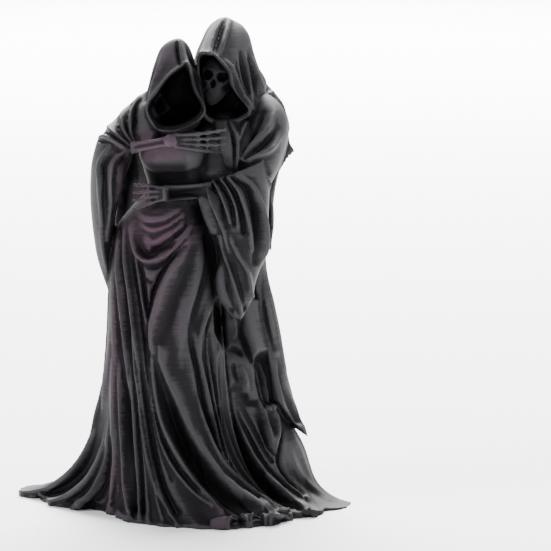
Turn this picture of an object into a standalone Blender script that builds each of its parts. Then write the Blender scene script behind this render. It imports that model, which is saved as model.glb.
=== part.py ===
"""Two hooded, robed figures in an embrace, printed in one piece in dark resin.

The taller one is a skeletal reaper. It stands behind, and lays its bony left hand on the waist of a slighter
hooded companion, whose skeletal right hand reaches across to the reaper's chest. Their robes run together
into one spreading hem, which is flat underneath.

The carving is laid out in hundredths of the figure's height, so one value sizes the whole figure. Wall
thicknesses are real sizes of their own. X runs to the viewer's right, the front faces -Y and Z is up.
"""

import math
import random

import bmesh
import bpy
import numpy as np

# Driving dimensions, in metres
FIGURE_HEIGHT = 0.180
HOOD_WALL = 0.0012
CLOAK_WALL = 0.0020

# The carving's own unit, how finely the forms are fused, and how high the floor cuts the hem
UNIT = FIGURE_HEIGHT / 100
FUSING_GRAIN = FIGURE_HEIGHT / 320
SOLID_TRIANGLES = 9700
FLOOR_CUT = 0.35

# How sharply the robes flare out to their hems: 1 for an even curve, less for a flatter hem
HEM_FLARE = 0.68

RESIN_COLOUR = (0.030, 0.028, 0.031, 1.0)
RESIN_ROUGHNESS = 0.48


# Curves that the forms are drawn with
def through(position, stops):
    """Smooth values at each position, through stops that each give a position and its values."""
    table = np.array(stops, float)
    knots, values = table[:, 0], table[:, 1:]
    slopes = np.gradient(values, knots, axis=0)
    position = np.clip(position, knots[0], knots[-1])
    left = np.clip(np.searchsorted(knots, position, "right") - 1, 0, len(knots) - 2)
    span = knots[left + 1] - knots[left]
    share = ((position - knots[left]) / span)[..., None]
    span = span[..., None]
    rise, fall = share**2 * (3 - 2 * share), share * (1 - share)
    curve = values[left] * (1 - rise) + values[left + 1] * rise
    curve = curve + span * fall * (slopes[left] * (1 - share) - slopes[left + 1] * share)
    return np.moveaxis(curve, -1, 0)


def around_through(angle, stops):
    """Smooth values round a full turn, through stops that each give an angle in degrees and its values."""
    first, last = stops[0], stops[-1]
    before = (last[0] - 360, *last[1:])
    after = (first[0] + 360, *first[1:])
    return through(np.mod(angle - first[0], 360) + first[0], [before, *stops, after])


def turned(points, degrees, axes):
    """Points turned about the origin, in the plane of two axes."""
    turn = math.radians(degrees)
    first, second = axes
    moved = points.copy()
    moved[:, first] = points[:, first] * math.cos(turn) - points[:, second] * math.sin(turn)
    moved[:, second] = points[:, first] * math.sin(turn) + points[:, second] * math.cos(turn)
    return moved


def crests(place, count, seed):
    """Uneven crests of about 1 with broad troughs of about -0.4 between them, along a share from 0 to 1."""
    draw = random.Random(seed)
    height = np.full_like(place, -0.4)
    for number in range(count):
        middle = (number + 0.5 + draw.uniform(-0.25, 0.25)) / count
        tall, wide = draw.uniform(0.75, 1.35), draw.uniform(0.28, 0.46) / count
        away = np.abs(place - middle) / wide
        height = np.maximum(height, tall * np.exp(-(away**1.3)) - 0.4)
    return height


def pleats(angle, count, seed):
    """The same crests round a full turn."""
    share = np.mod(angle / 360, 1)
    return np.maximum(crests(share, count, seed), crests(share - 1, count, seed))


def folds(points, fan):
    """How high a fan of folds stands at each point, as seen from the front.

    Each stop of its run gives a height, the x of the fan's two edges there, and how high its folds stand.
    A fan that runs across has x and height the other way round.
    """
    along, across = (points[0], points[2]) if fan.get("across") else (points[2], points[0])
    first, last, height = through(along, fan["run"])
    share = (across - first) / (last - first)
    start, end = fan["run"][0][0], fan["run"][-1][0]
    within = np.clip(np.minimum(share, 1 - share) * 2 * fan["count"] + 0.5, 0, 1)
    within = within * np.clip(np.minimum(along - start, end - along) / ((end - start) * 0.06) + 1, 0, 1)
    return within * height * crests(share, fan["count"], fan["seed"])


# One mesh gathers every form before they are fused
def add_form(figure, around, along, place, fans=()):
    """A closed form of rings. place(u, v) gives points for a share u round it and a share v along it."""
    form = bmesh.new()
    bmesh.ops.create_grid(form, x_segments=around, y_segments=along + 2, size=0.5)
    grid = np.array([vert.co for vert in form.verts])
    u = np.mod(np.round((grid[:, 0] + 0.5) * around), around) / around
    row = np.round((grid[:, 1] + 0.5) * (along + 2))
    points = np.stack(place(u, np.clip((row - 1) / along, 0, 1)), axis=1)
    for end, ring in ((0, 1), (along + 2, along + 1)):
        points[row == end] = points[row == ring].mean(axis=0)
    for vert, point in zip(form.verts, points):
        vert.co = point
    bmesh.ops.remove_doubles(form, verts=form.verts, dist=1e-4)
    bmesh.ops.recalc_face_normals(form, faces=form.faces)
    if fans:
        drape(form, fans)
    bmesh.ops.scale(form, vec=(UNIT, UNIT, UNIT), verts=form.verts)
    mesh = bpy.data.meshes.new("form")
    form.to_mesh(mesh)
    form.free()
    figure.from_mesh(mesh)
    bpy.data.meshes.remove(mesh)


def drape(form, fans):
    """Raises fans of folds along the normals of what faces the front or lies spread on the floor."""
    form.normal_update()
    points = np.array([vert.co for vert in form.verts]).T
    normals = np.array([vert.normal for vert in form.verts])
    facing = np.clip(0.3 - 2.2 * normals[:, 1], 0, 1)
    height = facing * sum(folds(points, fan) for fan in fans)
    for vert, point in zip(form.verts, points.T + normals * height[:, None]):
        vert.co = point


# Robes: rings from the hem up, as ovals that open out to the hem's own plan
GOWN_RINGS = [
    # height, middle x, half width, middle y, front depth, back depth
    (0, -3.0, 11.2, -8, 9.6, 8.0),
    (20, -3.0, 11.2, -8, 9.4, 8.0),
    (37, -3.0, 11.2, -8, 8.8, 7.5),
    (47, -3.3, 10.9, -8, 8.2, 7.0),
    (54, -3.5, 10.4, -8, 7.4, 6.0),
    (59, -3.0, 9.6, -8, 6.4, 5.0),
    (62.5, -2.2, 7.8, -8, 5.4, 5.0),
    (66.5, -0.6, 6.0, -8, 4.6, 4.5),
    (70, -1.0, 6.3, -8, 5.0, 4.8),
    (74.5, -1.7, 6.9, -8, 6.2, 5.0),
    (78, -2.3, 7.3, -7, 5.4, 4.5),
    (82, -2.3, 5.5, -6, 4.5, 4.0),
]
GOWN_HEM = [
    # angle from the front, x, y, height in which the cloth spreads to it, height of its upright edge
    (-140, -20, 15, 8, 1.5),
    (-108, -30, 13, 8, 1.4),
    (-96, -35, 6.8, 8, 1.5),
    (-80, -30.2, 2, 8, 1.6),
    (-66, -26.8, -4.4, 7.5, 1.6),
    (-52, -19.6, -8.4, 6, 1.5),
    (-40, -14.8, -10.2, 5, 1.5),
    (-30, -12.4, -16, 4.5, 1.5),
    (-20, -9.2, -19.6, 4.5, 2),
    (4, 4, -24.8, 5, 3),
    (30, 14.5, -23.2, 7, 3),
    (60, 22, -16, 9, 2),
    (100, 18, 0, 8, 1.5),
    (170, 0, 8, 8, 1.5),
]
ROBE_RINGS = [
    (0, 7.0, 16.8, 5, 12.0, 12.0),
    (11, 7.0, 16.5, 5, 12.0, 12.0),
    (17, 5.6, 15.2, 5, 12.0, 11.4),
    (25, 4.3, 14.8, 5, 12.0, 10.8),
    (37, 2.6, 14.2, 5, 11.0, 10.0),
    (50, 1.5, 13.3, 5, 9.4, 9.4),
    (58, 1.3, 13.5, 5, 8.0, 9.0),
    (67, 2.1, 13.9, 5, 7.6, 9.0),
    (74, 3.5, 14.7, 5, 7.4, 9.0),
    (79, 4.7, 14.9, 5, 7.0, 8.6),
    (83, 6.0, 13.6, 5, 6.4, 8.0),
    (86, 7.0, 10.4, 5, 5.6, 6.8),
    (89, 8.4, 6.0, 4.5, 5.0, 6.0),
]
ROBE_HEM = [
    (-100, -26, 12, 5, 1.5),
    (-60, -14, 0, 6, 1.5),
    (0, 8, -12, 6, 2),
    (45, 25.5, -14.8, 5, 1.5),
    (66, 28.5, -9.5, 3.5, 1),
    (86, 34.2, -3.4, 2.8, 0.5),
    (104, 27.5, 4, 3, 1),
    (135, 22, 16, 4, 1.4),
    (180, 3, 22.5, 4, 1.4),
    (225, -17, 19, 4, 1.4),
]
GOWN_FOLDS = [
    # left train, straight bundle, the two sweeps under the knee, and the flank
    dict(count=5, seed=1, run=[(0, -38, -21.5, 2.0), (5, -27.5, -17.3, 1.9), (12, -20.3, -15.1, 1.4),
                               (25, -15.9, -13.2, 0.9), (43, -14.4, -12.7, 0.1)]),
    dict(count=5, seed=2, run=[(0, -20.5, -8.6, 1.7), (6, -16.2, -9.9, 1.5), (12, -14.6, -10.6, 1.0),
                               (26, -13.0, -11.3, 0.5), (40, -12.6, -11.6, 0.0)]),
    dict(count=5, seed=3, run=[(0, -9.4, 0.4, 1.7), (6, -10.4, -2.6, 1.6), (12, -10.9, -4.2, 1.5),
                               (25, -11.6, -6.0, 1.5), (38, -11.9, -7.1, 1.2), (52, -12.2, -8.6, 0.6)]),
    dict(count=4, seed=4, run=[(0, 0.0, 10.8, 1.8), (3.5, -1.4, 8.6, 2.0), (8, -3.2, 5.6, 2.0),
                               (15, -5.2, 2.2, 1.8), (24, -6.4, -1.6, 1.6), (32, -7.0, -4.0, 1.1),
                               (38, -7.4, -5.4, 0.1)]),
    dict(count=5, seed=5, run=[(0, 14.0, 26.0, 1.6), (4, 11.2, 21.0, 1.9), (10, 7.4, 15.0, 2.0),
                               (18, 4.6, 11.2, 1.9), (30, 2.7, 8.6, 1.7), (42, 1.2, 7.4, 1.2),
                               (50, 1.4, 7.0, 0.2)]),
    # the ridge from the hip down to the knee, the swags over the belly and the pleats beside them
    dict(count=2, seed=6, run=[(36, -7.6, -5.2, 0.8), (42, -6.2, -3.2, 1.6), (49, -3.6, -0.2, 1.6),
                               (56, -0.2, 2.6, 1.1), (60, 1.6, 4.0, 0.2)]),
    dict(count=4, seed=7, across=True, run=[(-11.5, 58.6, 61.4, 0.3), (-8.5, 52.8, 60.0, 1.1),
                                            (-5.0, 49.4, 58.0, 1.3), (-2.0, 50.8, 57.6, 1.3),
                                            (1.0, 55.4, 59.0, 1.1), (4.0, 60.0, 61.6, 0.3)]),
    dict(count=3, seed=8, run=[(36, -11.8, -7.6, 0.5), (46, -12.6, -8.8, 1.2), (54, -13.0, -9.8, 1.1),
                               (60, -12.6, -10.2, 0.5)]),
]
ROBE_FOLDS = [
    dict(count=3, seed=11, run=[(0, 23.0, 32.5, 1.7), (4, 18.6, 26.0, 2.0), (9, 14.4, 20.4, 2.2),
                                (22, 9.2, 13.8, 2.0), (34, 7.6, 11.2, 1.6), (46, 6.8, 10.4, 0.4)]),
    dict(count=4, seed=12, run=[(0, 27.0, 36.0, 1.2), (4, 23.6, 29.6, 1.5), (9, 19.0, 24.6, 1.5),
                                (16, 15.6, 22.4, 1.3), (30, 13.0, 19.0, 0.8), (40, 12.0, 18.0, 0.2)]),
]


def robe_ring(angle, height, rings, hem):
    """The plan of a robe at a height: its body's oval, opening out to the hem near the floor."""
    turn = np.radians(angle)
    middle_x, half_width, middle_y, front, back = through(height, rings)
    depth = np.where(np.cos(turn) > 0, front, back)
    x = middle_x + half_width * np.sin(turn)
    y = middle_y - depth * np.cos(turn)
    hem_x, hem_y, spread, edge = around_through(angle, hem)
    open_share = np.exp(-((np.maximum(height - edge, 0) / spread) ** HEM_FLARE))
    return x + (hem_x - x) * open_share, y + (hem_y - y) * open_share, open_share


def robe(rings, hem, count, seed, body_depth, hem_depth):
    """Places a robe with pleats all round, which deepen towards the hem and are faint in front."""
    top = rings[-1][0]

    def place(u, v):
        angle, height = u * 360, -1 + (top + 1) * v**1.5
        x, y, open_share = robe_ring(angle, height, rings, hem)
        out_x, out_y = np.sin(np.radians(angle)), -np.cos(np.radians(angle))
        behind = np.clip(0.45 + 1.5 * out_y, 0, 1)
        depth = body_depth * behind * np.clip((72 - height) / 40, 0, 1) + hem_depth * open_share**2
        push = depth * pleats(angle, count, seed)
        return x + push * out_x, y + push * out_y, height

    return place


# Torn cloth over the robe: the outer cloak, the layer under it and the short cape
LAYER_TOP = 85
LAYER_EASE = 9
LAYER_INSET = 0.7
LAYER_PLEATS = 27
PLEAT_DEPTH = 0.7
LEAN = 0.6
LEAN_FROM = 31
UNDER_CLOAK = dict(
    sides=(22, 62),
    edge=[(22, 60), (26, 27), (27, 24), (31, 22.5), (34, 24), (40, 21.5), (46, 14), (50, 11.5), (54, 13), (62, 40)],
    kick=[(22, 0), (62, 0)],
    walls=1,
)
CLOAK = dict(
    sides=(20, 300),
    edge=[(20, 74), (29, 47), (32, 40), (35, 37), (40, 34), (45, 31.5), (53, 31), (55, 25), (56.5, 13), (58.5, 12),
          (61, 15), (64, 19), (70, 20.5), (78, 19), (86, 15.6), (91, 12.6), (96, 18.8), (104, 22), (112, 12), (119, 20),
          (130, 15), (138, 23), (147, 11), (158, 19), (166, 14), (178, 24), (186, 13), (198, 20), (207, 10),
          (217, 21), (228, 14), (240, 25), (250, 18), (262, 34), (275, 52), (288, 66), (300, 76)],
    kick=[(20, 0), (84, 0.2), (91, 3.2), (96, 0.4), (112, 0.8), (147, 0.9), (186, 0.8), (207, 1.0), (300, 0)],
    walls=2,
)
CAPE = dict(
    sides=(72, 278),
    edge=[(72, 80), (79, 60), (82, 52.5), (86, 52), (89, 58), (91.5, 68), (97, 73), (101, 71.5), (106, 76), (116, 70),
          (126, 63), (138, 69), (152, 56), (163, 64), (176, 58), (190, 67), (207, 55), (221, 64), (238, 57),
          (252, 68), (264, 62), (278, 80)],
    kick=[(72, 0), (92, 0.2), (99, 2.4), (106, 0.6), (152, 0.8), (207, 0.8), (278, 0)],
    walls=3.2,
)


def layer(sides, edge, kick, walls):
    """Places a layer of cloth: its outer face down to a torn edge, and its inner face back up."""
    start, end = sides

    def place(u, v):
        turn = np.minimum(u, 1 - u) * 2
        base = start + (end - start) * turn
        outside = u < 0.5
        edge_height = np.interp(base, *zip(*edge))
        drop = np.sin(np.pi * np.clip(v, 0, 1) / 2)
        height = LAYER_TOP + (edge_height - LAYER_TOP) * drop
        angle = base - LEAN * np.clip(LEAN_FROM - height, 0, LEAN_FROM)
        x, y, _ = robe_ring(angle, height, ROBE_RINGS, ROBE_HEM)
        out_x, out_y = np.sin(np.radians(angle)), -np.cos(np.radians(angle))
        hem = np.clip((LAYER_TOP - edge_height) / 10, 0, 1) * np.clip(np.minimum(turn, 1 - turn) * 25, 0.1, 1)
        eased = np.clip((LAYER_TOP - height) / LAYER_EASE, 0, 1) ** 1.5
        lift = np.where(outside, walls * CLOAK_WALL / UNIT * hem * eased, -LAYER_INSET)
        wave = PLEAT_DEPTH * pleats(angle, LAYER_PLEATS, 8) * eased * outside
        lift = lift + wave + np.interp(base, *zip(*kick)) * drop**8
        return x + lift * out_x, y + lift * out_y, height

    return place


# Hoods: a leaf-shaped opening that leads into a hollow, and the domed cloth behind it
COMPANION_RIM = [
    # place round the rim, x, y, z
    (0, 1.0, -13.2, 92.2),
    (35, 3.0, -13.6, 86.9),
    (75, 4.9, -14.2, 82.7),
    (100, 4.2, -14.8, 81.2),
    (140, 1.4, -15.6, 79.4),
    (180, -1.9, -16.2, 78.5),
    (215, -4.8, -15.8, 79.0),
    (245, -6.5, -15.0, 81.2),
    (270, -6.9, -14.4, 83.3),
    (300, -5.3, -14.0, 86.2),
    (335, -2.2, -13.4, 90.0),
]
COMPANION_CROWN = [
    (0, -0.9, -7.5, 96.5),
    (20, 0.9, -7.5, 95.6),
    (45, 2.2, -7.5, 93.2),
    (80, 3.1, -7.5, 87.5),
    (110, 4.2, -7.5, 82.5),
    (145, 2.6, -7.5, 78.5),
    (180, -1.5, -7.5, 77.0),
    (215, -5.6, -7.5, 78.5),
    (255, -7.6, -7.5, 83.0),
    (285, -6.6, -7.5, 87.6),
    (310, -5.4, -7.5, 91.8),
    (335, -3.9, -7.5, 94.9),
    (350, -2.2, -7.5, 96.1),
]
REAPER_RIM = [
    (0, 6.0, -11.5, 94.0),
    (30, 8.0, -11.0, 92.2),
    (55, 9.8, -10.4, 89.9),
    (75, 10.4, -10.0, 87.2),
    (95, 11.8, -9.4, 84.6),
    (115, 13.8, -8.6, 81.8),
    (135, 12.2, -8.8, 80.3),
    (180, 7.0, -9.5, 79.6),
    (225, 4.4, -9.5, 81.0),
    (270, 3.6, -9.8, 86.0),
    (305, 3.0, -10.6, 90.6),
    (335, 3.6, -11.3, 93.9),
]
REAPER_CROWN = [
    (0, 8.4, 0.5, 100.35),
    (15, 10.0, 0.5, 99.7),
    (32, 12.0, 0.5, 98.5),
    (50, 13.4, 0.5, 96.4),
    (70, 14.3, 0.5, 93.0),
    (90, 15.4, 0.5, 89.8),
    (108, 16.9, 0.5, 86.6),
    (120, 15.8, 0.5, 84.2),
    (150, 12.0, 0.5, 80.0),
    (180, 8.0, 0.5, 78.5),
    (220, 2.5, 0.5, 80.0),
    (260, 1.6, 0.5, 86.0),
    (290, 2.4, 0.5, 92.5),
    (310, 3.9, 0.5, 96.0),
    (330, 5.4, 0.5, 98.7),
    (345, 6.9, 0.5, 99.9),
]
COMPANION_HOOD = dict(rim=COMPANION_RIM, crown=COMPANION_CROWN, heart=(-1.6, -14.0, 84.6), hollow=8.5, nape=6.5)
REAPER_HOOD = dict(rim=REAPER_RIM, crown=REAPER_CROWN, heart=(7.2, -10.0, 87.4), hollow=8.0, nape=8.5)


# Which of a hood's rings are the two edges of its rim
INNER_RIM, RIM = 3, 4


def hood(rim, crown, heart, hollow, nape):
    """Places a hood. It runs from deep inside, out to the rim, over the crown and down to the nape."""
    heart = np.array(heart)[:, None]
    wall = HOOD_WALL / UNIT

    def place(u, v):
        edge, dome = around_through(u * 360, rim), around_through(u * 360, crown)
        reach = edge - heart
        inner = edge - reach * wall / np.linalg.norm(reach, axis=0)
        middle = dome.mean(axis=1)[:, None]
        back = np.array([0, 1, 0])[:, None]
        rings = [
            (0.00, heart + reach * 0.3 + back * hollow),
            (0.14, heart + reach * 0.74 + back * hollow * 0.8),
            (0.30, heart + reach * 0.85 + back * 2.2),
            (0.40, inner),
            (0.44, edge),
            (0.48, edge + back * 0.6),
            (0.72, dome),
            (0.88, middle + (dome - middle) * 0.8 + back * nape * 0.7),
            (1.00, middle + (dome - middle) * 0.2 + back * nape),
        ]
        knots = np.array([share for share, _ in rings])
        places = np.stack([ring for _, ring in rings])
        slopes = np.gradient(places, knots, axis=0)
        slopes[INNER_RIM] = slopes[RIM] = (places[RIM] - places[INNER_RIM]) / (knots[RIM] - knots[INNER_RIM])
        left = np.clip(np.searchsorted(knots, v, "right") - 1, 0, len(rings) - 2)
        span = knots[left + 1] - knots[left]
        share = (v - knots[left]) / span
        column = np.arange(v.size)
        before, after = places[left, :, column].T, places[left + 1, :, column].T
        rise, fall = share**2 * (3 - 2 * share), share * (1 - share)
        bend = slopes[left, :, column].T * (1 - share) - slopes[left + 1, :, column].T * share
        return before * (1 - rise) + after * rise + span * fall * bend

    return place


COMPANION_HOOD_FOLDS = [
    dict(count=1, seed=21, run=[(91.6, 0.2, 2.0, 0.5), (94, -0.5, 1.2, 0.8), (97, -1.6, 0.2, 0.9)]),
    dict(count=3, seed=22, run=[(80, -9.4, -6.8, 0.4), (84, -8.4, -6.4, 0.4), (88, -6.6, -4.6, 0.2)]),
]
REAPER_HOOD_FOLDS = [
    dict(count=4, seed=24, run=[(81, 11.4, 17.2, 0.3), (86, 10.8, 16.0, 0.7), (91, 10.4, 14.8, 0.7),
                                (96, 9.4, 13.2, 0.2)]),
]


# Arms and sleeves
def limb(stops):
    """Places a limb along a smooth line. Each stop gives a share, a point, and how wide and deep it is."""

    def place(u, v):
        x, y, z, wide, deep = through(v, stops)
        ahead = np.stack(through(np.clip(v + 0.01, 0, 1), stops)[:3])
        behind = np.stack(through(np.clip(v - 0.01, 0, 1), stops)[:3])
        line = ahead - behind
        line = line / np.linalg.norm(line, axis=0)
        side = np.stack([line[2], np.zeros_like(x), -line[0]])
        side = side / np.maximum(np.linalg.norm(side, axis=0), 1e-6)
        front = np.cross(side.T, line.T).T
        turn = 2 * np.pi * u
        ring = wide * np.cos(turn) * side + deep * np.sin(turn) * front
        return x + ring[0], y + ring[1], z + ring[2]

    return place


COMPANION_ARM = [
    (0.0, -4.0, -6.0, 84.4, 3.0, 3.8),
    (0.3, -7.9, -7.0, 81.3, 3.3, 4.2),
    (0.65, -11.4, -9.0, 77.6, 3.4, 4.6),
    (1.0, -13.8, -10.6, 74.2, 3.7, 4.6),
]
REAPER_ARM = [
    (0.0, 13.0, 1.0, 83.0, 3.6, 5.0),
    (0.3, 16.2, -1.0, 79.5, 4.8, 5.8),
    (0.7, 15.2, -6.0, 72.8, 4.8, 6.0),
    (1.0, 12.8, -9.5, 68.8, 5.0, 5.8),
]
COMPANION_SLEEVE = [
    # height, middle x, half width, middle y, front depth, back depth
    (45.0, -14.7, 0.3, -6.0, 0.5, 0.5),
    (48.5, -15.0, 0.9, -6.5, 1.4, 1.4),
    (52, -15.3, 1.5, -7.2, 2.0, 2.0),
    (57, -15.4, 1.9, -8.2, 3.0, 3.0),
    (64, -15.3, 2.4, -9.4, 4.2, 4.0),
    (69, -14.6, 3.3, -10.0, 5.0, 4.4),
    (72, -14.1, 3.9, -10.2, 5.2, 4.4),
    (76, -13.4, 3.6, -10.0, 4.6, 3.8),
]
REAPER_SLEEVE = [
    (41.0, 11.2, 0.9, -12.0, 0.8, 1.4),
    (43.5, 10.8, 2.7, -12.0, 2.0, 3.4),
    (48, 10.6, 4.1, -11.6, 3.2, 5.0),
    (52, 11.6, 4.4, -11.4, 4.0, 5.6),
    (57, 11.7, 5.2, -11.4, 4.8, 6.2),
    (62, 11.1, 6.2, -11.4, 5.4, 6.6),
    (67, 10.7, 6.7, -11.2, 6.0, 6.6),
    (70.5, 11.4, 5.6, -10.6, 5.4, 6.0),
]
COMPANION_ARM_FOLDS = [
    dict(count=5, seed=31, run=[(74.5, -17.6, -9.4, 1.0), (77.5, -15.4, -9.0, 1.7), (81.5, -11.6, -6.6, 1.5),
                                (87, -8.6, -4.0, 0.6)]),
]
COMPANION_SLEEVE_FOLDS = [
    dict(count=4, seed=32, run=[(46, -16.2, -13.4, 0.5), (54, -17.2, -13.6, 1.1), (64, -17.9, -12.8, 1.5),
                                (71, -18.2, -10.4, 1.3), (76, -16.4, -9.6, 0.5)]),
]
REAPER_ARM_FOLDS = [
    dict(count=5, seed=33, run=[(66, 8.0, 17.0, 0.2), (71, 10.6, 14.6, 1.4), (74, 11.2, 18.6, 2.0),
                                (78, 11.8, 20.6, 1.9), (83, 12.0, 20.6, 0.8)]),
]
REAPER_CHEST_FOLDS = [
    dict(count=4, seed=35, run=[(66, 7.4, 12.8, 0.4), (72, 7.0, 11.8, 1.0), (80, 6.6, 13.0, 0.8)]),
]
REAPER_SLEEVE_FOLDS = [
    dict(count=6, seed=34, run=[(42, 7.6, 15.0, 1.0), (48, 6.6, 17.4, 1.7), (55, 6.6, 19.0, 2.1),
                                (63, 5.4, 18.6, 2.2), (68, 6.6, 16.8, 1.5), (72, 10.4, 14.6, 0.5)]),
]


def sleeve(rings, tatters, seed):
    """Places a hanging sleeve with a ragged lower edge."""
    low, top = rings[0][0], rings[-1][0]

    def place(u, v):
        angle = u * 360
        ragged = tatters * pleats(angle, 7, seed) * np.clip(0.25 - v, 0, 1) * 4
        height = low + (top - low) * v
        turn = np.radians(angle)
        middle_x, half_width, middle_y, front, back = through(height, rings)
        depth = np.where(np.cos(turn) > 0, front, back)
        return middle_x + half_width * np.sin(turn), middle_y - depth * np.cos(turn), height - ragged

    return place


# Bones: fingers, forearms and the skull
def bone(start, end, bow, radius, joints):
    """Places a row of bones: a bowed line that thickens at each joint."""
    start, end, bow = np.array(start, float), np.array(end, float), np.array(bow, float)

    def place(u, v):
        line = start[:, None] + (end - start)[:, None] * v + bow[:, None] * (4 * v * (1 - v))
        knuckle = np.abs(np.cos(np.pi * joints * v)) ** 6
        thick = radius * (0.72 + 0.42 * knuckle) * np.where(v < 0.5, 1.0, 1.0 - 0.35 * (v - 0.5))
        way = (end - start) / np.linalg.norm(end - start)
        side = np.cross(way, (0, 1, 0))
        side = side / np.linalg.norm(side)
        front = np.cross(side, way)
        turn = 2 * np.pi * u
        ring = thick * (np.cos(turn) * side[:, None] + np.sin(turn) * front[:, None])
        return line + ring

    return place


COMPANION_HAND = dict(
    elbow=(-10.6, -15.0, 74.2),
    wrist=(-1.9, -18.6, 77.0),
    forearm_gap=1.1,
    knuckles=((3.6, -18.0, 78.3), (3.4, -17.2, 75.0)),
    tips=((8.9, -14.6, 78.7), (8.6, -14.4, 74.3)),
    cuff=(1.0, 1.1, 1.25),
)
REAPER_HAND = dict(
    elbow=(6.0, -13.6, 66.6),
    wrist=(-3.0, -13.6, 66.0),
    forearm_gap=2.2,
    knuckles=((-6.6, -13.0, 67.6), (-6.4, -13.2, 63.9)),
    tips=((-9.6, -10.4, 67.4), (-9.8, -11.4, 62.6)),
    cuff=(1.0, 1.0, 1.7),
)
FINGERS = 4
FINGER_RADIUS = 0.43
FOREARM_RADIUS = 0.62


def add_hand(figure, hand):
    """A skeletal forearm of two bones, a cuff of wrist bones and four long fingers."""
    elbow, wrist = np.array(hand["elbow"]), np.array(hand["wrist"])
    for side in (-0.5, 0.5):
        apart = np.array((0, 0, side * hand["forearm_gap"]))
        add_form(figure, 10, 14, bone(elbow + apart, wrist + apart, (0, -0.2, 0), FOREARM_RADIUS, 1))
    add_form(figure, 16, 10, egg(wrist, hand["cuff"]))
    for finger in range(FINGERS):
        share = finger / (FINGERS - 1)
        knuckle = np.array(hand["knuckles"][0]) * (1 - share) + np.array(hand["knuckles"][1]) * share
        tip = np.array(hand["tips"][0]) * (1 - share) + np.array(hand["tips"][1]) * share
        palm = wrist + (knuckle - wrist) * 0.15 + np.array((0, 0, 0.8 - 1.6 * share))
        add_form(figure, 10, 10, bone(palm, knuckle, (0, -0.25, 0), FINGER_RADIUS, 1))
        add_form(figure, 10, 22, bone(knuckle, tip, (0, -0.7, 0), FINGER_RADIUS, 3))


def egg(centre, size):
    """Places an egg-shaped form with half sizes along the three axes."""

    def place(u, v):
        turn, rise = 2 * np.pi * u, np.pi * (0.04 + 0.92 * v)
        x = centre[0] + size[0] * np.sin(rise) * np.sin(turn)
        y = centre[1] - size[1] * np.sin(rise) * np.cos(turn)
        return x, y, centre[2] - size[2] * np.cos(rise)

    return place


SKULL = dict(middle=(6.5, -7.2, 88.6), size=(3.5, 4.2, 5.3), yaw=-8, roll=7)
SOCKETS = [
    # across, up, half width, half height, depth, as shares of the skull
    (-0.40, 0.26, 0.29, 0.19, 0.50),
    (0.40, 0.26, 0.29, 0.19, 0.50),
    (0.0, -0.06, 0.16, 0.16, 0.34),
    (-0.80, -0.18, 0.26, 0.24, 0.30),
    (0.80, -0.18, 0.26, 0.24, 0.30),
    (0.0, -0.42, 0.42, 0.035, 0.08),
]


def skull(u, v):
    """The skull: a round brain case that narrows to a long jaw, sunk at the sockets, nose and cheeks."""
    turn, rise = 2 * np.pi * u, np.pi * (0.03 + 0.94 * v)
    up = -np.cos(rise)
    across, front = np.sin(rise) * np.sin(turn), np.sin(rise) * np.cos(turn)
    jaw = np.clip(-up, 0, 1)
    across = across * (1 - 0.34 * jaw**0.8)
    front = front * (1 - 0.16 * jaw) + 0.14 * jaw * (front > 0)
    for side, level, wide, tall, deep in SOCKETS:
        away = ((across - side) / wide) ** 2 + ((up - level) / tall) ** 2
        front = front - deep * np.exp(-(away**1.5)) * (front > 0)
    points = np.stack([across, -front, up], axis=1) * np.array(SKULL["size"])
    points = turned(turned(points, SKULL["roll"], (2, 0)), SKULL["yaw"], (0, 1))
    return (points + np.array(SKULL["middle"])).T


# The companion's bust, the reaper's chest and the rolled hem
BUST = [((-4.2, -12.4, 74.3), (2.9, 2.6, 2.6)), ((1.8, -12.4, 74.2), (2.9, 2.6, 2.6))]
CHEST = ((8.6, -4.5, 72.0), (7.6, 9.0, 9.6))
ROLLED_HEM = dict(start=6, end=62, rolls=7, radius=1.25)


def rolled_hem(u, v):
    """A curl of cloth along the hem at the front right, thick and thin by turns."""
    angle = ROLLED_HEM["start"] + (ROLLED_HEM["end"] - ROLLED_HEM["start"]) * v
    x, y = around_through(angle, GOWN_HEM)[:2]
    wave = np.sin(np.pi * ROLLED_HEM["rolls"] * v)
    thick = ROLLED_HEM["radius"] * (0.7 + 0.5 * np.abs(wave))
    out_x, out_y = np.sin(np.radians(angle)), -np.cos(np.radians(angle))
    turn = 2 * np.pi * u
    out = thick * np.cos(turn) - 0.9 + 0.7 * wave
    return x + out * out_x, y + out * out_y, 0.9 + 0.5 * np.abs(wave) + thick * np.sin(turn)


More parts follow.
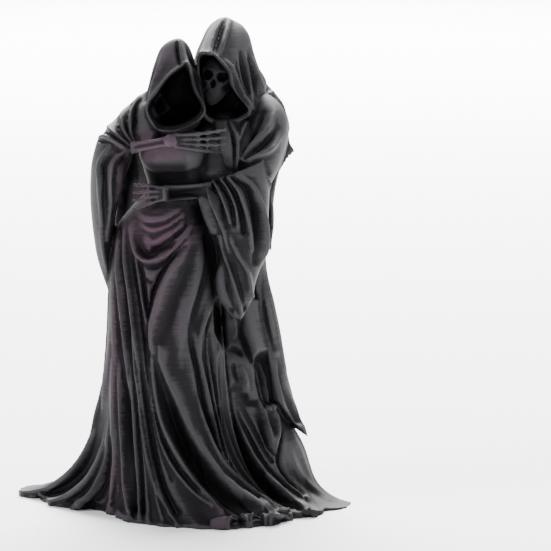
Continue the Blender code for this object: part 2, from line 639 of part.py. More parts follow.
def gather_forms():
    """Every form of the figure in one mesh, still overlapping."""
    figure = bmesh.new()
    add_form(figure, 420, 150, robe(GOWN_RINGS, GOWN_HEM, 30, 3, 0.9, 1.0), GOWN_FOLDS)
    add_form(figure, 420, 150, robe(ROBE_RINGS, ROBE_HEM, 26, 11, 1.2, 1.2), ROBE_FOLDS)
    for cloth in (UNDER_CLOAK, CLOAK, CAPE):
        add_form(figure, 360, 90, layer(**cloth))
    add_form(figure, 140, 110, hood(**COMPANION_HOOD), COMPANION_HOOD_FOLDS)
    add_form(figure, 140, 110, hood(**REAPER_HOOD), REAPER_HOOD_FOLDS)
    add_form(figure, 100, 60, limb(COMPANION_ARM), COMPANION_ARM_FOLDS)
    add_form(figure, 100, 60, limb(REAPER_ARM), REAPER_ARM_FOLDS)
    add_form(figure, 120, 90, sleeve(COMPANION_SLEEVE, 0.5, 4), COMPANION_SLEEVE_FOLDS)
    add_form(figure, 160, 90, sleeve(REAPER_SLEEVE, 1.2, 6), REAPER_SLEEVE_FOLDS)
    for centre, size in BUST:
        add_form(figure, 24, 16, egg(centre, size))
    add_form(figure, 60, 40, egg(*CHEST), REAPER_CHEST_FOLDS)
    add_form(figure, 20, 80, rolled_hem)
    add_form(figure, 72, 60, skull)
    add_hand(figure, COMPANION_HAND)
    add_hand(figure, REAPER_HAND)
    return figure


def resin():
    """The dark printed resin, with a soft sheen."""
    material = bpy.data.materials.new("resin")
    material.use_nodes = True
    shader = material.node_tree.nodes["Principled BSDF"]
    shader.inputs["Base Color"].default_value = RESIN_COLOUR
    shader.inputs["Roughness"].default_value = RESIN_ROUGHNESS
    return material


def shaped(source, name):
    """A plain mesh of an object as its modifiers leave it."""
    graph = bpy.context.evaluated_depsgraph_get()
    mesh = bpy.data.meshes.new_from_object(source.evaluated_get(graph))
    mesh.name = name
    return mesh


def fused(figure):
    """The forms as one skin, with nothing left inside it."""
    modifier = figure.modifiers.new("fuse", "REMESH")
    modifier.mode = "VOXEL"
    modifier.voxel_size = FUSING_GRAIN
    mesh = shaped(figure, "fused")
    figure.modifiers.clear()
    return mesh


def thinned(figure, triangles):
    """The fused figure with fewer, larger triangles where it is smooth."""
    figure.data.calc_loop_triangles()
    modifier = figure.modifiers.new("fewer triangles", "DECIMATE")
    modifier.ratio = triangles / len(figure.data.loop_triangles)
    modifier.use_collapse_triangulate = True
    mesh = shaped(figure, "thinned")
    figure.modifiers.clear()
    return mesh


def stand_on_floor(figure):
    """Cuts the figure off level under its hem, and brings the middle of its box over the origin."""
    body = bmesh.new()
    body.from_mesh(figure.data)
    floor = FLOOR_CUT * UNIT
    parts = list(body.verts) + list(body.edges) + list(body.faces)
    cut = bmesh.ops.bisect_plane(
        body, geom=parts, dist=UNIT * 1e-4, plane_co=(0, 0, floor), plane_no=(0, 0, 1), clear_inner=True
    )
    rim = [part for part in cut["geom_cut"] if isinstance(part, bmesh.types.BMEdge)]
    bmesh.ops.holes_fill(body, edges=rim, sides=0)
    places = np.array([vert.co for vert in body.verts])
    middle = (places.min(axis=0) + places.max(axis=0)) / 2
    bmesh.ops.translate(body, verts=body.verts, vec=(-middle[0], -middle[1], -floor))
    body.to_mesh(figure.data)
    body.free()


def build():
    for leftover in list(bpy.data.objects):
        bpy.data.objects.remove(leftover)
    forms = gather_forms()
    mesh = bpy.data.meshes.new("embracing_figures")
    forms.to_mesh(mesh)
    forms.free()
    figure = bpy.data.objects.new("embracing_figures", mesh)
    bpy.context.scene.collection.objects.link(figure)
    figure.data = fused(figure)
    figure.data = thinned(figure, SOLID_TRIANGLES)
    stand_on_floor(figure)
    figure.data.name = "embracing_figures"
    figure.data.materials.clear()
    figure.data.materials.append(resin())
    return figure


build()
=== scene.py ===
import math
import random
import bmesh
import bpy
import numpy as np
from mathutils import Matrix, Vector


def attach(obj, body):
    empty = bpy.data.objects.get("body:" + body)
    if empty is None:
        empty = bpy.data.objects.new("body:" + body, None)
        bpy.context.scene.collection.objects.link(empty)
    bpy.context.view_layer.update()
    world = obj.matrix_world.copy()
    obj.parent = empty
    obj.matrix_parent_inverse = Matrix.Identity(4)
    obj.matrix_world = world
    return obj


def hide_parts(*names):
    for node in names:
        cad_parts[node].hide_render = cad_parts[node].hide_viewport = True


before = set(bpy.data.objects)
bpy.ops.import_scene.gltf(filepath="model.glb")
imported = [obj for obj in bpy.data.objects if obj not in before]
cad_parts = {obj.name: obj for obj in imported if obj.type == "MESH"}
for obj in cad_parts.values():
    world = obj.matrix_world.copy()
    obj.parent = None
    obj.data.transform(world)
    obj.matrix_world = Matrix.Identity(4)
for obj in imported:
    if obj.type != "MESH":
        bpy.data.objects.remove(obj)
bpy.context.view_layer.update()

# The carving is laid out in hundredths of the figure's height: x to the right, y to the back, z up
unit = 0.180 / 100
mould = {
    "grain": 0.00043,  # how finely the forms are fused
    "triangles": 196000,  # about how many the figure keeps
    "floorCut": 0.35,  # where the floor cuts the hem, in units
    "hoodWall": 0.0009,
    "rimWall": 0.0006,  # what is left of it at the companion's rim
    "cloakWall": 0.0017,
    "hemFlare": 0.68,  # under 1, the hems lie flatter on the floor
    "smoothing": 1,  # rounds of it after the forms are fused
    "pleatsTop": 72,  # the pleats begin at this height, in units
    "pleatsGrow": 40,  # and are full this far below it
    "ridges": 1.5,  # how much the drawn folds are raised and sunk
    "grooves": 1.7,
}
grids = {  # how many points each form has round it and along it
    "gown": (1100, 420),
    "robe": (1000, 420),
    "tornCloth": (900, 240),
    "hood": (400, 280),
    "hollow": (200, 80),
    "arm": (280, 220),
    "sleeve": (360, 300),
    "bust": (48, 32),
    "chest": (200, 160),
    "rolledHem": (120, 480),
    "skull": (160, 140),
    "forearm": (16, 30),
    "palm": (24, 20),
    "cuff": (24, 16),
    "palmBone": (14, 20),
    "finger": (14, 40),
}


def through(position, stops):  # smooth values through stops of (position, values...)
    table = np.array(stops, float)
    knots, values = table[:, 0], table[:, 1:]
    slopes = np.gradient(values, knots, axis=0)
    position = np.clip(position, knots[0], knots[-1])
    left = np.clip(np.searchsorted(knots, position, "right") - 1, 0, len(knots) - 2)
    span = (knots[left + 1] - knots[left])[..., None]
    share = (position - knots[left])[..., None] / span
    rise, fall = share**2 * (3 - 2 * share), share * (1 - share)
    curve = values[left] * (1 - rise) + values[left + 1] * rise
    curve = curve + span * fall * (slopes[left] * (1 - share) - slopes[left + 1] * share)
    return np.moveaxis(curve, -1, 0)


def aroundThrough(angle, stops):  # the same round a full turn, with stops by angle in degrees
    before = (stops[-1][0] - 360, *stops[-1][1:])
    after = (stops[0][0] + 360, *stops[0][1:])
    return through(np.mod(angle - stops[0][0], 360) + stops[0][0], [before, *stops, after])


def turned(points, degrees, axes):
    turn = math.radians(degrees)
    first, second = axes
    moved = points.copy()
    moved[:, first] = points[:, first] * math.cos(turn) - points[:, second] * math.sin(turn)
    moved[:, second] = points[:, first] * math.sin(turn) + points[:, second] * math.cos(turn)
    return moved


# Uneven crests with broad troughs between them
def crests(place, count, seed):
    draw = random.Random(seed)
    height = np.full_like(place, -0.4)
    for number in range(count):
        middle = (number + 0.5 + draw.uniform(-0.25, 0.25)) / count
        tall, wide = draw.uniform(0.75, 1.35), draw.uniform(0.28, 0.46) / count
        away = np.abs(place - middle) / wide
        height = np.maximum(height, tall * np.exp(-(away**1.3)) - 0.4)
    return height


def pleats(angle, count, seed):
    share = np.mod(angle / 360, 1)
    return np.maximum(crests(share, count, seed), crests(share - 1, count, seed))


# The photograph's view of the carving, in which the larger folds are drawn, in pixels across and down
photograph = {
    "width": 551,  # pixels
    "focal": 2713,  # pixels
    "elevation": 8,  # degrees
    "distance": 555.6,  # from the camera to the target, in units
    "target": (18.7, 0, 47.6),
    "foldsEnd": (7, 11),  # towards the back, the drawn folds fade between these places
}


def seen(points):
    rise = math.radians(photograph["elevation"])
    x, y, z = (points[axis] - photograph["target"][axis] for axis in range(3))
    scale = photograph["focal"] / (photograph["distance"] + y * math.cos(rise) - z * math.sin(rise))
    middle = photograph["width"] / 2
    return middle + scale * x, middle - scale * (z * math.cos(rise) + y * math.sin(rise))


# Each drawn fold is (how high it stands along it, width on either side of its line, places along the line)
def drawnHeight(points, folds):
    across, down = seen(points)
    ridges, grooves = np.zeros_like(across), np.zeros_like(across)
    for rises, (leftWidth, rightWidth), places in folds:
        places = np.array(places, float)
        steps = np.linalg.norm(np.diff(places, axis=0), axis=1)
        length = np.concatenate([[0], np.cumsum(steps)])
        along = np.linspace(0, length[-1], max(4, int(length[-1])))
        lineX, lineY = through(along, [(at, *place) for at, place in zip(length, places)])
        reach = 2 * max(leftWidth, rightWidth)
        near = (across > lineX.min() - reach) & (across < lineX.max() + reach)
        near &= (down > lineY.min() - reach) & (down < lineY.max() + reach)
        if not near.any():
            continue
        awayX, awayY = across[near][:, None] - lineX, down[near][:, None] - lineY
        nearest = np.argmin(awayX**2 + awayY**2, axis=1)
        wayX, wayY = np.gradient(lineX), np.gradient(lineY)
        norm = np.hypot(wayX, wayY)
        row = np.arange(nearest.size)
        awayX, awayY = awayX[row, nearest], awayY[row, nearest]
        side = (awayX * wayY[nearest] - awayY * wayX[nearest]) / norm[nearest]
        distance = np.hypot(awayX, awayY) / np.where(side > 0, rightWidth, leftWidth)
        share = np.linspace(0, 1, len(rises))
        height = np.interp(along[nearest] / length[-1], share, rises) * np.exp(-(distance**1.6))
        ridges[near] = np.maximum(ridges[near], height)
        grooves[near] = np.minimum(grooves[near], height)
    return ridges * mould["ridges"] + grooves * mould["grooves"]


# Plates are raised or sunk areas with a torn edge: (height, softness of the edge, corners)
def plateHeight(points, plates):
    across, down = seen(points)
    height = np.zeros_like(across)
    for rise, soft, corners in plates:
        corners = np.array(corners, float)
        inside = np.zeros(across.shape, bool)
        away = np.full(across.shape, np.inf)
        for start, end in zip(corners, np.roll(corners, -1, axis=0)):
            way = end - start
            share = ((across - start[0]) * way[0] + (down - start[1]) * way[1]) / (way @ way)
            share = np.clip(share, 0, 1)
            gap = np.hypot(across - start[0] - share * way[0], down - start[1] - share * way[1])
            away = np.minimum(away, gap)
            crosses = (start[1] > down) != (end[1] > down)
            at = start[0] + (down - start[1]) / (way[1] if way[1] else 1e-9) * way[0]
            inside ^= crosses & (across < at)
        depth = np.clip(np.where(inside, away, -away) / soft * 0.5 + 0.5, 0, 1)
        height = height + rise * depth**2 * (3 - 2 * depth)
    return height


# A closed form of rings: place(u, v) gives points for a share u round it and a share v along it
def addForm(figure, grid, place, folds=(), plates=()):
    around, along = grid
    form = bmesh.new()
    bmesh.ops.create_grid(form, x_segments=around, y_segments=along + 2, size=0.5)
    mesh = bpy.data.meshes.new("form")
    form.to_mesh(mesh)
    form.free()
    flat = np.empty(len(mesh.vertices) * 3)
    mesh.vertices.foreach_get("co", flat)
    flat = flat.reshape(-1, 3)
    column = np.mod(np.round((flat[:, 0] + 0.5) * around).astype(int), around)
    row = np.round((flat[:, 1] + 0.5) * (along + 2)).astype(int)
    shares = np.clip((np.arange(along + 3) - 1) / along, 0, 1), np.arange(around) / around
    v, u = np.meshgrid(*shares, indexing="ij")
    points = np.stack(place(u.ravel(), v.ravel())).reshape(3, along + 3, around)
    if folds or plates:
        side = np.roll(points, -1, axis=2) - np.roll(points, 1, axis=2)
        rise = np.gradient(points, axis=1)
        normal = np.cross(side, rise, axis=0)
        middle = points.mean(axis=(1, 2))[:, None, None]
        if ((points - middle) * normal).sum() < 0:
            normal = -normal
        normal = normal / np.maximum(np.linalg.norm(normal, axis=0), 1e-9)
        near, far = photograph["foldsEnd"]
        facing = np.clip(0.3 - 2.2 * normal[1], 0, 1)  # the front, and what lies spread on the floor
        facing = facing * np.clip((far - points[1]) / (far - near), 0, 1)
        height = drawnHeight(points, folds) + plateHeight(points, plates)
        points = points + normal * facing * height
    for end, ring in ((0, 1), (along + 2, along + 1)):
        points[:, end] = points[:, ring].mean(axis=1)[:, None]
    mesh.vertices.foreach_set("co", (points[:, row, column].T * unit).ravel())
    figure.from_mesh(mesh)
    bpy.data.meshes.remove(mesh)


# The companion's gown: (height, middle x, half width, middle y, front depth, back depth)
gown = {
    "rings": [
        (0, -3.6, 10.6, -8, 9.6, 8.0),
        (20, -3.6, 10.6, -8, 9.4, 8.0),
        (37, -3.6, 10.6, -8, 8.8, 7.5),
        (47, -3.7, 10.5, -8, 8.2, 7.0),
        (54, -3.5, 10.4, -8, 7.4, 6.0),
        (59, -3.0, 9.6, -8, 6.4, 5.0),
        (62.5, -2.2, 7.8, -8, 5.4, 5.0),
        (66.5, -0.6, 6.0, -8, 4.6, 4.5),
        (70, -1.0, 6.3, -8, 5.0, 4.8),
        (74.5, -1.7, 6.9, -8, 6.2, 5.0),
        (77, -2.1, 6.6, -7, 5.2, 4.5),
        (78.6, -2.0, 4.4, -6, 3.6, 4.0),
    ],
    "hem": [  # (angle from the front, x, y, height in which it spreads, height of its edge)
        (-140, -20, 15, 8, 1.5),
        (-108, -30, 13, 8, 1.4),
        (-96, -35, 6.8, 8, 1.5),
        (-80, -30.2, 2, 8, 1.6),
        (-66, -26.8, -4.4, 7.5, 1.6),
        (-52, -19.6, -8.4, 6, 1.5),
        (-40, -14.8, -10.2, 5, 1.5),
        (-30, -12.4, -16, 4.5, 1.5),
        (-20, -9.2, -19.6, 4.5, 1),
        (4, 4, -24.8, 5, 1),
        (30, 14.5, -23.2, 7, 1.6),
        (60, 22, -16, 9, 2),
        (100, 18, 0, 8, 1.5),
        (170, 0, 8, 8, 1.5),
    ],
    "pleats": (30, 3, 0.9, 1.0),  # count, seed, depth on the body and at the hem
    # each fold is (heights along it, (width to its left, width to its right), places down it)
    "folds": [
        # the flank and the left train
        ((0, 0.5, 0.6, 0.3), (4, 4), [(113, 300), (108, 367), (96, 415), (80, 452), (61, 479), (38, 489)]),
        ((0, 0.6, 0.9, 0.7), (6, 2), [(104, 400), (93, 438), (80, 462), (68, 477), (52, 489), (34, 497)]),
        ((0, -0.7, -1.2, -0.8), (5, 8), [(106, 405), (98, 436), (86, 462), (73, 478), (58, 490), (44, 496)]),
        ((0, 0.6, 0.9, 0.7), (6, 2.5), [(108, 412), (103, 440), (97, 462), (88, 480), (74, 493), (44, 501)]),
        ((0, -0.6, -0.8, -0.6), (3, 4), [(109, 430), (105, 452), (98, 472), (87, 489), (70, 501)]),
        ((0, 0.7, 1, 0.9), (4, 2), [(112, 400), (109, 436), (105, 462), (98, 480), (90, 494), (76, 507)]),
        ((0, -0.8, -1.2, -0.8), (3, 6), [(113, 430), (109, 460), (104, 480), (97, 496), (88, 509)]),
        # the broad light panel and the bundle beside it
        ((0.2, 0.7, 0.9, 0.9, 0.8), (4, 4), [(114, 345), (115, 400), (115, 450), (113, 490), (111, 518)]),
        ((0, 0.3, 0.4, 0.4), (2, 2), [(119, 430), (119, 470), (119, 500), (118, 520)]),
        ((0, 0.9, 1.1, 1.1, 0.9), (3, 1.6), [(119, 340), (122, 385), (125, 440), (128, 480), (130, 500),
            (131, 520)]),
        ((0, -1, -1.2, -1), (2, 3.5), [(122, 350), (126, 395), (130, 440), (133, 475), (135, 510)]),
        ((0, 0.5, 0.7, 0.7), (2, 2), [(128, 350), (133, 400), (136, 450), (139, 490), (140, 518)]),
        ((0, -0.6, -0.9, -0.8), (2, 2.5), [(131, 345), (137, 395), (140, 445), (143, 480), (144, 512)]),
        ((0, 0.5, 0.6, 0.6), (2, 2), [(138, 400), (142, 445), (145, 480), (148, 505), (148, 520)]),
        ((0.1, 0.8, 0.9, 0.9, 0.6), (1.6, 2), [(131, 300), (134, 345), (139, 400), (145, 440), (151, 470),
            (158, 492), (167, 508), (179, 530)]),
        ((0, -0.8, -1.1, -0.9), (3, 4), [(138, 345), (143, 385), (149, 430), (156, 465), (164, 490),
            (175, 512)]),
        ((0, 0.5, 0.5, 0.4), (1.6, 2), [(150, 455), (154, 480), (158, 502), (162, 520)]),
        # folds from below the knee to the front
        ((0.1, 0.6, 0.7, 0.6), (2, 2), [(145, 345), (147, 375), (153, 410), (162, 444), (174, 468),
            (190, 489), (212, 507)]),
        ((0, -0.6, -0.8, -0.6), (1.6, 2), [(149, 350), (151, 385), (157, 420), (167, 448), (180, 470),
            (198, 490)]),
        ((0.1, 0.8, 1.1, 1.1, 0.8), (4, 1.6), [(152, 350), (155, 385), (164, 425), (176, 450), (190, 473),
            (204, 492), (222, 512)]),
        ((0, -0.9, -2, -1.9, -1.1), (4, 9), [(157, 360), (166, 400), (179, 437), (197, 468), (219, 495),
            (246, 512)]),
        ((0.3, 1.1, 1.6, 1.7, 1.2), (2.5, 9), [(158, 340), (163, 368), (176, 400), (192, 436), (210, 465),
            (232, 491), (262, 510)]),
        ((0, 0.8, 1.1, 1.1, 0.9), (5, 1.6), [(197, 395), (206, 425), (217, 450), (231, 473), (248, 489),
            (272, 504)]),
        ((0, -0.4, -0.6, -0.4), (2, 2), [(200, 425), (208, 447), (220, 468), (238, 487), (256, 500)]),
        ((0.1, -0.9, -1.2, -1.1, -0.6), (2, 3), [(190, 310), (191, 340), (197, 370), (204, 405), (213, 436),
            (228, 466), (244, 481)]),
        ((0, 0.7, 0.9, 0.8, 0.4), (3, 2), [(196, 325), (199, 355), (206, 390), (213, 420), (221, 448),
            (234, 473)]),
        ((0, -0.7, -0.9, -0.7), (2, 2), [(201, 325), (205, 358), (210, 390), (217, 425), (227, 458),
            (238, 474)]),
        ((0, 0.6, 0.7, 0.5), (2, 2), [(205, 325), (208, 360), (214, 395), (221, 430), (230, 460)]),
        ((0, -0.8, -1.2, -0.9), (2, 3), [(209, 315), (210, 350), (215, 390), (222, 425), (233, 465)]),
        # the ridge from the hip down to the knee
        ((0.1, 0.8, 1.3, 1.5, 1.3, 0.6), (2.5, 8), [(190, 230), (176, 256), (163, 282), (155, 306),
            (150, 328), (151, 348)]),
        ((-0.2, -0.9, -1.3, -1.3, -1, -0.6), (2.5, 2.5), [(184, 240), (164, 269), (154, 290), (149, 312),
            (146, 335), (147, 365)]),
        ((0, -0.4, -0.5, -0.3), (5, 6), [(194, 240), (184, 274), (173, 302), (162, 340)]),
        ((0, 0.3, 0.4, 0), (6, 8), [(200, 240), (196, 280), (184, 320), (178, 380)]),
        # the right side, in the shade of the sleeve
        ((0, -0.6, -0.9, -0.7, 0), (2, 5), [(204, 232), (207, 262), (200, 292), (193, 316), (191, 340)]),
        ((0, 0.6, 0.7, 0), (2, 2), [(212, 296), (205, 318), (200, 336), (201, 364)]),
        ((0, -0.8, -0.9, 0), (1.5, 2), [(216, 305), (209, 322), (206, 345), (208, 376)]),
        ((0, 0.6, 0.7, 0.5), (1.5, 1.5), [(220, 340), (216, 365), (219, 395), (226, 430)]),
        # swags over the belly
        ((0.1, 0.8, 1.1, 1.1, 0.8, 0.3), (2.5, 5), [(130, 228), (134, 247), (142, 259), (156, 260),
            (172, 251), (184, 238), (190, 228)]),
        ((0, -0.7, -0.8, -0.3), (4, 3), [(140, 266), (154, 267), (170, 260), (183, 247)]),
        ((-0.1, -0.8, -1.2, -0.9, -0.5), (3, 6), [(135, 238), (143, 253), (149, 256), (158, 250),
            (170, 246)]),
        ((0, 0.5, 0.7, 0.5), (2.5, 4), [(143, 236), (152, 243), (166, 238), (182, 226)]),
        ((0, -0.4, -0.5, -0.3), (2, 3), [(150, 247), (163, 243), (176, 235), (187, 224)]),
        ((0, 0.4, 0.5, 0.3), (2, 3), [(138, 222), (152, 230), (168, 226), (182, 216)]),
        ((0, -0.5, -0.5, 0), (2, 3), [(142, 274), (150, 283), (160, 277)]),
        # upright pleats from the left hip down
        ((0, 0.9, 1, 0.8, 0.7, 0.6, 0.5), (2.5, 1.6), [(124, 214), (126, 256), (131, 292), (135, 326),
            (139, 360), (144, 410), (150, 450), (159, 486), (170, 516)]),
        ((0, -0.9, -1, -0.9, -0.7, -0.5, -0.3), (1.6, 1.6), [(129, 232), (134, 266), (139, 298), (143, 330),
            (147, 372), (152, 412), (160, 450), (172, 480)]),
        ((0, 0.8, 0.9, 0.7, 0), (1.6, 1.6), [(134, 244), (139, 272), (143, 300), (147, 330), (149, 360)]),
        ((0, -0.8, -1.1, -0.8, 0), (2, 2.5), [(138, 252), (142, 276), (145, 302), (146, 330), (147, 350)]),
        ((0, -0.8, -0.9, -0.9, -0.7, -0.5, 0), (1.8, 1.6), [(121, 222), (122, 262), (126, 300), (130, 335),
            (134, 372), (137, 410), (139, 440)]),
        ((0, 0.6, 0.7, 0.7, 0.5, 0), (1.8, 1.6), [(117, 232), (118, 270), (122, 310), (126, 345),
            (129, 385), (132, 420)]),
        ((0, -0.5, -0.7, -0.8, 0), (2, 2), [(114, 262), (116, 300), (119, 340), (123, 380), (127, 410)]),
        ((0, 0.3, 0.4, 0.3, 0), (2, 3), [(112, 300), (114, 340), (116, 380), (115, 410)]),
        ((0, -0.4, -0.6, -0.4, 0), (3, 3), [(103, 300), (103, 345), (98, 390), (88, 425), (76, 450)]),
        # the bodice
        ((0, -0.3, -0.4, -0.3), (4, 1.6), [(141, 160), (155, 162), (170, 161), (184, 158)]),
        ((0, 0.3, 0.3, 0.2), (3, 2), [(141, 156), (155, 157), (170, 156), (184, 152)]),
        ((0, 0.4, 0.5, 0.2), (2, 4), [(135, 213), (146, 220), (160, 220), (178, 212)]),
    ],
}

# The reaper's robe behind it
robe = {
    "rings": [
        (0, 7.0, 16.8, 5, 12.0, 12.0),
        (11, 7.0, 16.5, 5, 12.0, 12.0),
        (17, 5.6, 15.2, 5, 12.0, 11.4),
        (25, 4.3, 14.8, 5, 12.0, 10.8),
        (37, 2.6, 14.2, 5, 11.0, 10.0),
        (50, 1.5, 13.3, 5, 9.4, 9.4),
        (58, 1.3, 13.5, 5, 8.0, 9.0),
        (67, 2.1, 13.9, 5, 7.6, 9.0),
        (74, 3.5, 14.7, 5, 7.4, 9.0),
        (79, 4.7, 14.9, 5, 7.0, 8.6),
        (83, 6.0, 13.6, 5, 6.4, 8.0),
        (86, 7.0, 10.4, 5, 5.6, 6.8),
        (89, 8.4, 6.0, 4.5, 5.0, 6.0),
    ],
    "hem": [
        (-100, -26, 12, 5, 1.5),
        (-60, -14, 0, 6, 1.5),
        (0, 8, -12, 6, 2),
        (45, 25.5, -14.8, 5, 1.5),
        (66, 28.5, -9.5, 3.5, 1),
        (86, 34.2, -3.4, 2.8, 0.5),
        (104, 27.5, 4, 3, 1),
        (135, 22, 16, 4, 1.4),
        (180, 3, 22.5, 4, 1.4),
        (225, -17, 19, 4, 1.4),
    ],
    "pleats": (26, 11, 1.2, 1.2),
    "folds": [
        # the front edge, and what runs down beside it to the hem
        ((0, 0.9, 1.3, 1.4, 1.2, 0.9), (2, 5), [(224, 360), (228, 386), (232, 408), (240, 430), (256, 462),
            (281, 493), (312, 515)]),
        ((0, -1.4, -2, -2, -1.8, -1), (4, 6), [(219, 350), (222, 382), (226, 409), (231, 437), (243, 466),
            (264, 492), (292, 507)]),
        ((0, -0.8, -0.9, -0.6, -0.2), (1.5, 2), [(232, 396), (237, 415), (247, 436), (264, 466),
            (284, 488)]),
        ((0, 0.7, 0.8, 0.5), (1.6, 1.6), [(234, 398), (241, 416), (250, 433), (265, 460), (280, 480)]),
        ((0, -0.6, -0.7, -0.4), (1.6, 2), [(239, 398), (244, 410), (254, 427), (263, 446), (272, 462)]),
        ((0, 0.6, 0.8, 0.4), (1.6, 2), [(245, 410), (253, 423), (261, 438), (270, 454)]),
        ((0, -1, -1.2, -0.6), (2, 2.5), [(257, 412), (263, 436), (270, 450), (277, 455)]),
        ((0, -0.9, -0.9, -0.5), (1.6, 2), [(278, 408), (281, 428), (281, 444), (278, 462), (286, 480),
            (303, 496)]),
        ((0, 0.6, 0.7, 0.4), (3, 6), [(270, 458), (279, 476), (294, 491), (318, 506)]),
        ((0, 0.4, 0.6, 0.4), (3, 5), [(290, 440), (294, 465), (305, 483), (328, 500)]),
        # the hollow under the sleeve, and the shade beside the cloak's front edge
        ((-0.6, -1.6, -1.6, -0.4), (3.5, 3.5), [(219, 300), (220, 316), (221, 330), (225, 345)]),
        ((0, 0.6, 0.6, 0), (4, 3), [(233, 316), (235, 326), (234, 340)]),
        ((-0.3, -0.9, -1, -0.6), (4, 1.6), [(240, 318), (242, 330), (247, 344), (253, 360)]),
        ((0, -0.5, -0.5, 0), (3, 3), [(226, 352), (234, 350), (244, 358)]),
        ((0, -0.5, -0.5, 0), (1.6, 1.6), [(232, 362), (234, 374), (237, 384)]),
        ((0, 0.4, 0.5, 0.2), (2.5, 2.5), [(240, 366), (244, 378), (246, 390)]),
        # inside the arch, and the strands under it
        ((0.4, 1.1, 1.1, 0.5), (1.6, 1.6), [(263, 364), (265, 380), (268, 396), (272, 408)]),
        ((0.3, 0.8, 0.8, 0.4), (1.4, 1.4), [(258, 368), (260, 384), (263, 398), (268, 410)]),
        ((0, 0.7, 0.7, 0.2), (1.6, 1.6), [(262, 408), (265, 424), (271, 440)]),
        ((0, -0.6, -0.6, -0.2), (1.3, 1.3), [(266, 408), (269, 420), (274, 434)]),
        ((0, 0.7, 0.7, 0.2), (1.6, 1.6), [(270, 406), (274, 420), (278, 438)]),
        ((0, -0.5, -0.5, -0.3), (1.6, 1.6), [(258, 300), (262, 322), (266, 345), (270, 365)]),
        ((0, 0.4, 0.5, 0.2), (3, 3), [(270, 330), (276, 360), (284, 392), (290, 410)]),
    ],
    "plates": [
        # the cloak's front edge, which runs over an arch; the layer under it, and a tongue of that one
        (0.8, 2.2, [(240, 300), (243, 316), (246, 330), (250, 343), (254, 354), (258, 351), (263, 351),
            (268, 357), (270, 372), (273, 387), (278, 400), (284, 411), (292, 425), (300, 400), (292, 296)]),
        (0.35, 4, [(224, 360), (232, 352), (246, 356), (254, 362), (256, 382), (260, 396), (262, 406),
            (254, 405), (245, 394), (240, 387), (234, 384), (228, 388)]),
        (0.5, 2, [(258, 402), (268, 404), (277, 404), (281, 418), (281, 436), (277, 448), (271, 446),
            (263, 430)]),
        (-1.2, 2.6, [(255, 366), (257, 357), (262, 354), (266, 358), (268, 372), (271, 388), (275, 400),
            (271, 404), (263, 408), (259, 396), (256, 382)]),
        (-0.6, 3, [(240, 394), (246, 394), (249, 399), (256, 400), (256, 406), (247, 406), (243, 400)]),
    ],
}


def robeRing(angle, height, cloth):
    turn = np.radians(angle)
    middleX, halfWidth, middleY, front, back = through(height, cloth["rings"])
    depth = np.where(np.cos(turn) > 0, front, back)
    x, y = middleX + halfWidth * np.sin(turn), middleY - depth * np.cos(turn)
    hemX, hemY, spread, edge = aroundThrough(angle, cloth["hem"])
    openShare = np.exp(-((np.maximum(height - edge, 0) / spread) ** mould["hemFlare"]))
    return x + (hemX - x) * openShare, y + (hemY - y) * openShare, openShare


def robeShape(cloth):
    count, seed, bodyDepth, hemDepth = cloth["pleats"]
    top = cloth["rings"][-1][0]

    def place(u, v):
        angle, height = u * 360, -1 + (top + 1) * v**1.5
        x, y, openShare = robeRing(angle, height, cloth)
        outX, outY = np.sin(np.radians(angle)), -np.cos(np.radians(angle))
        behind = np.clip(0.45 + 1.5 * outY, 0, 1)
        grown = np.clip((mould["pleatsTop"] - height) / mould["pleatsGrow"], 0, 1)
        depth = bodyDepth * behind * grown + hemDepth * openShare**2
        push = depth * (pleats(angle, count, seed) + 0.3 * pleats(angle, count * 2 + 1, seed + 1))
        return x + push * outX, y + push * outY, height

    return place


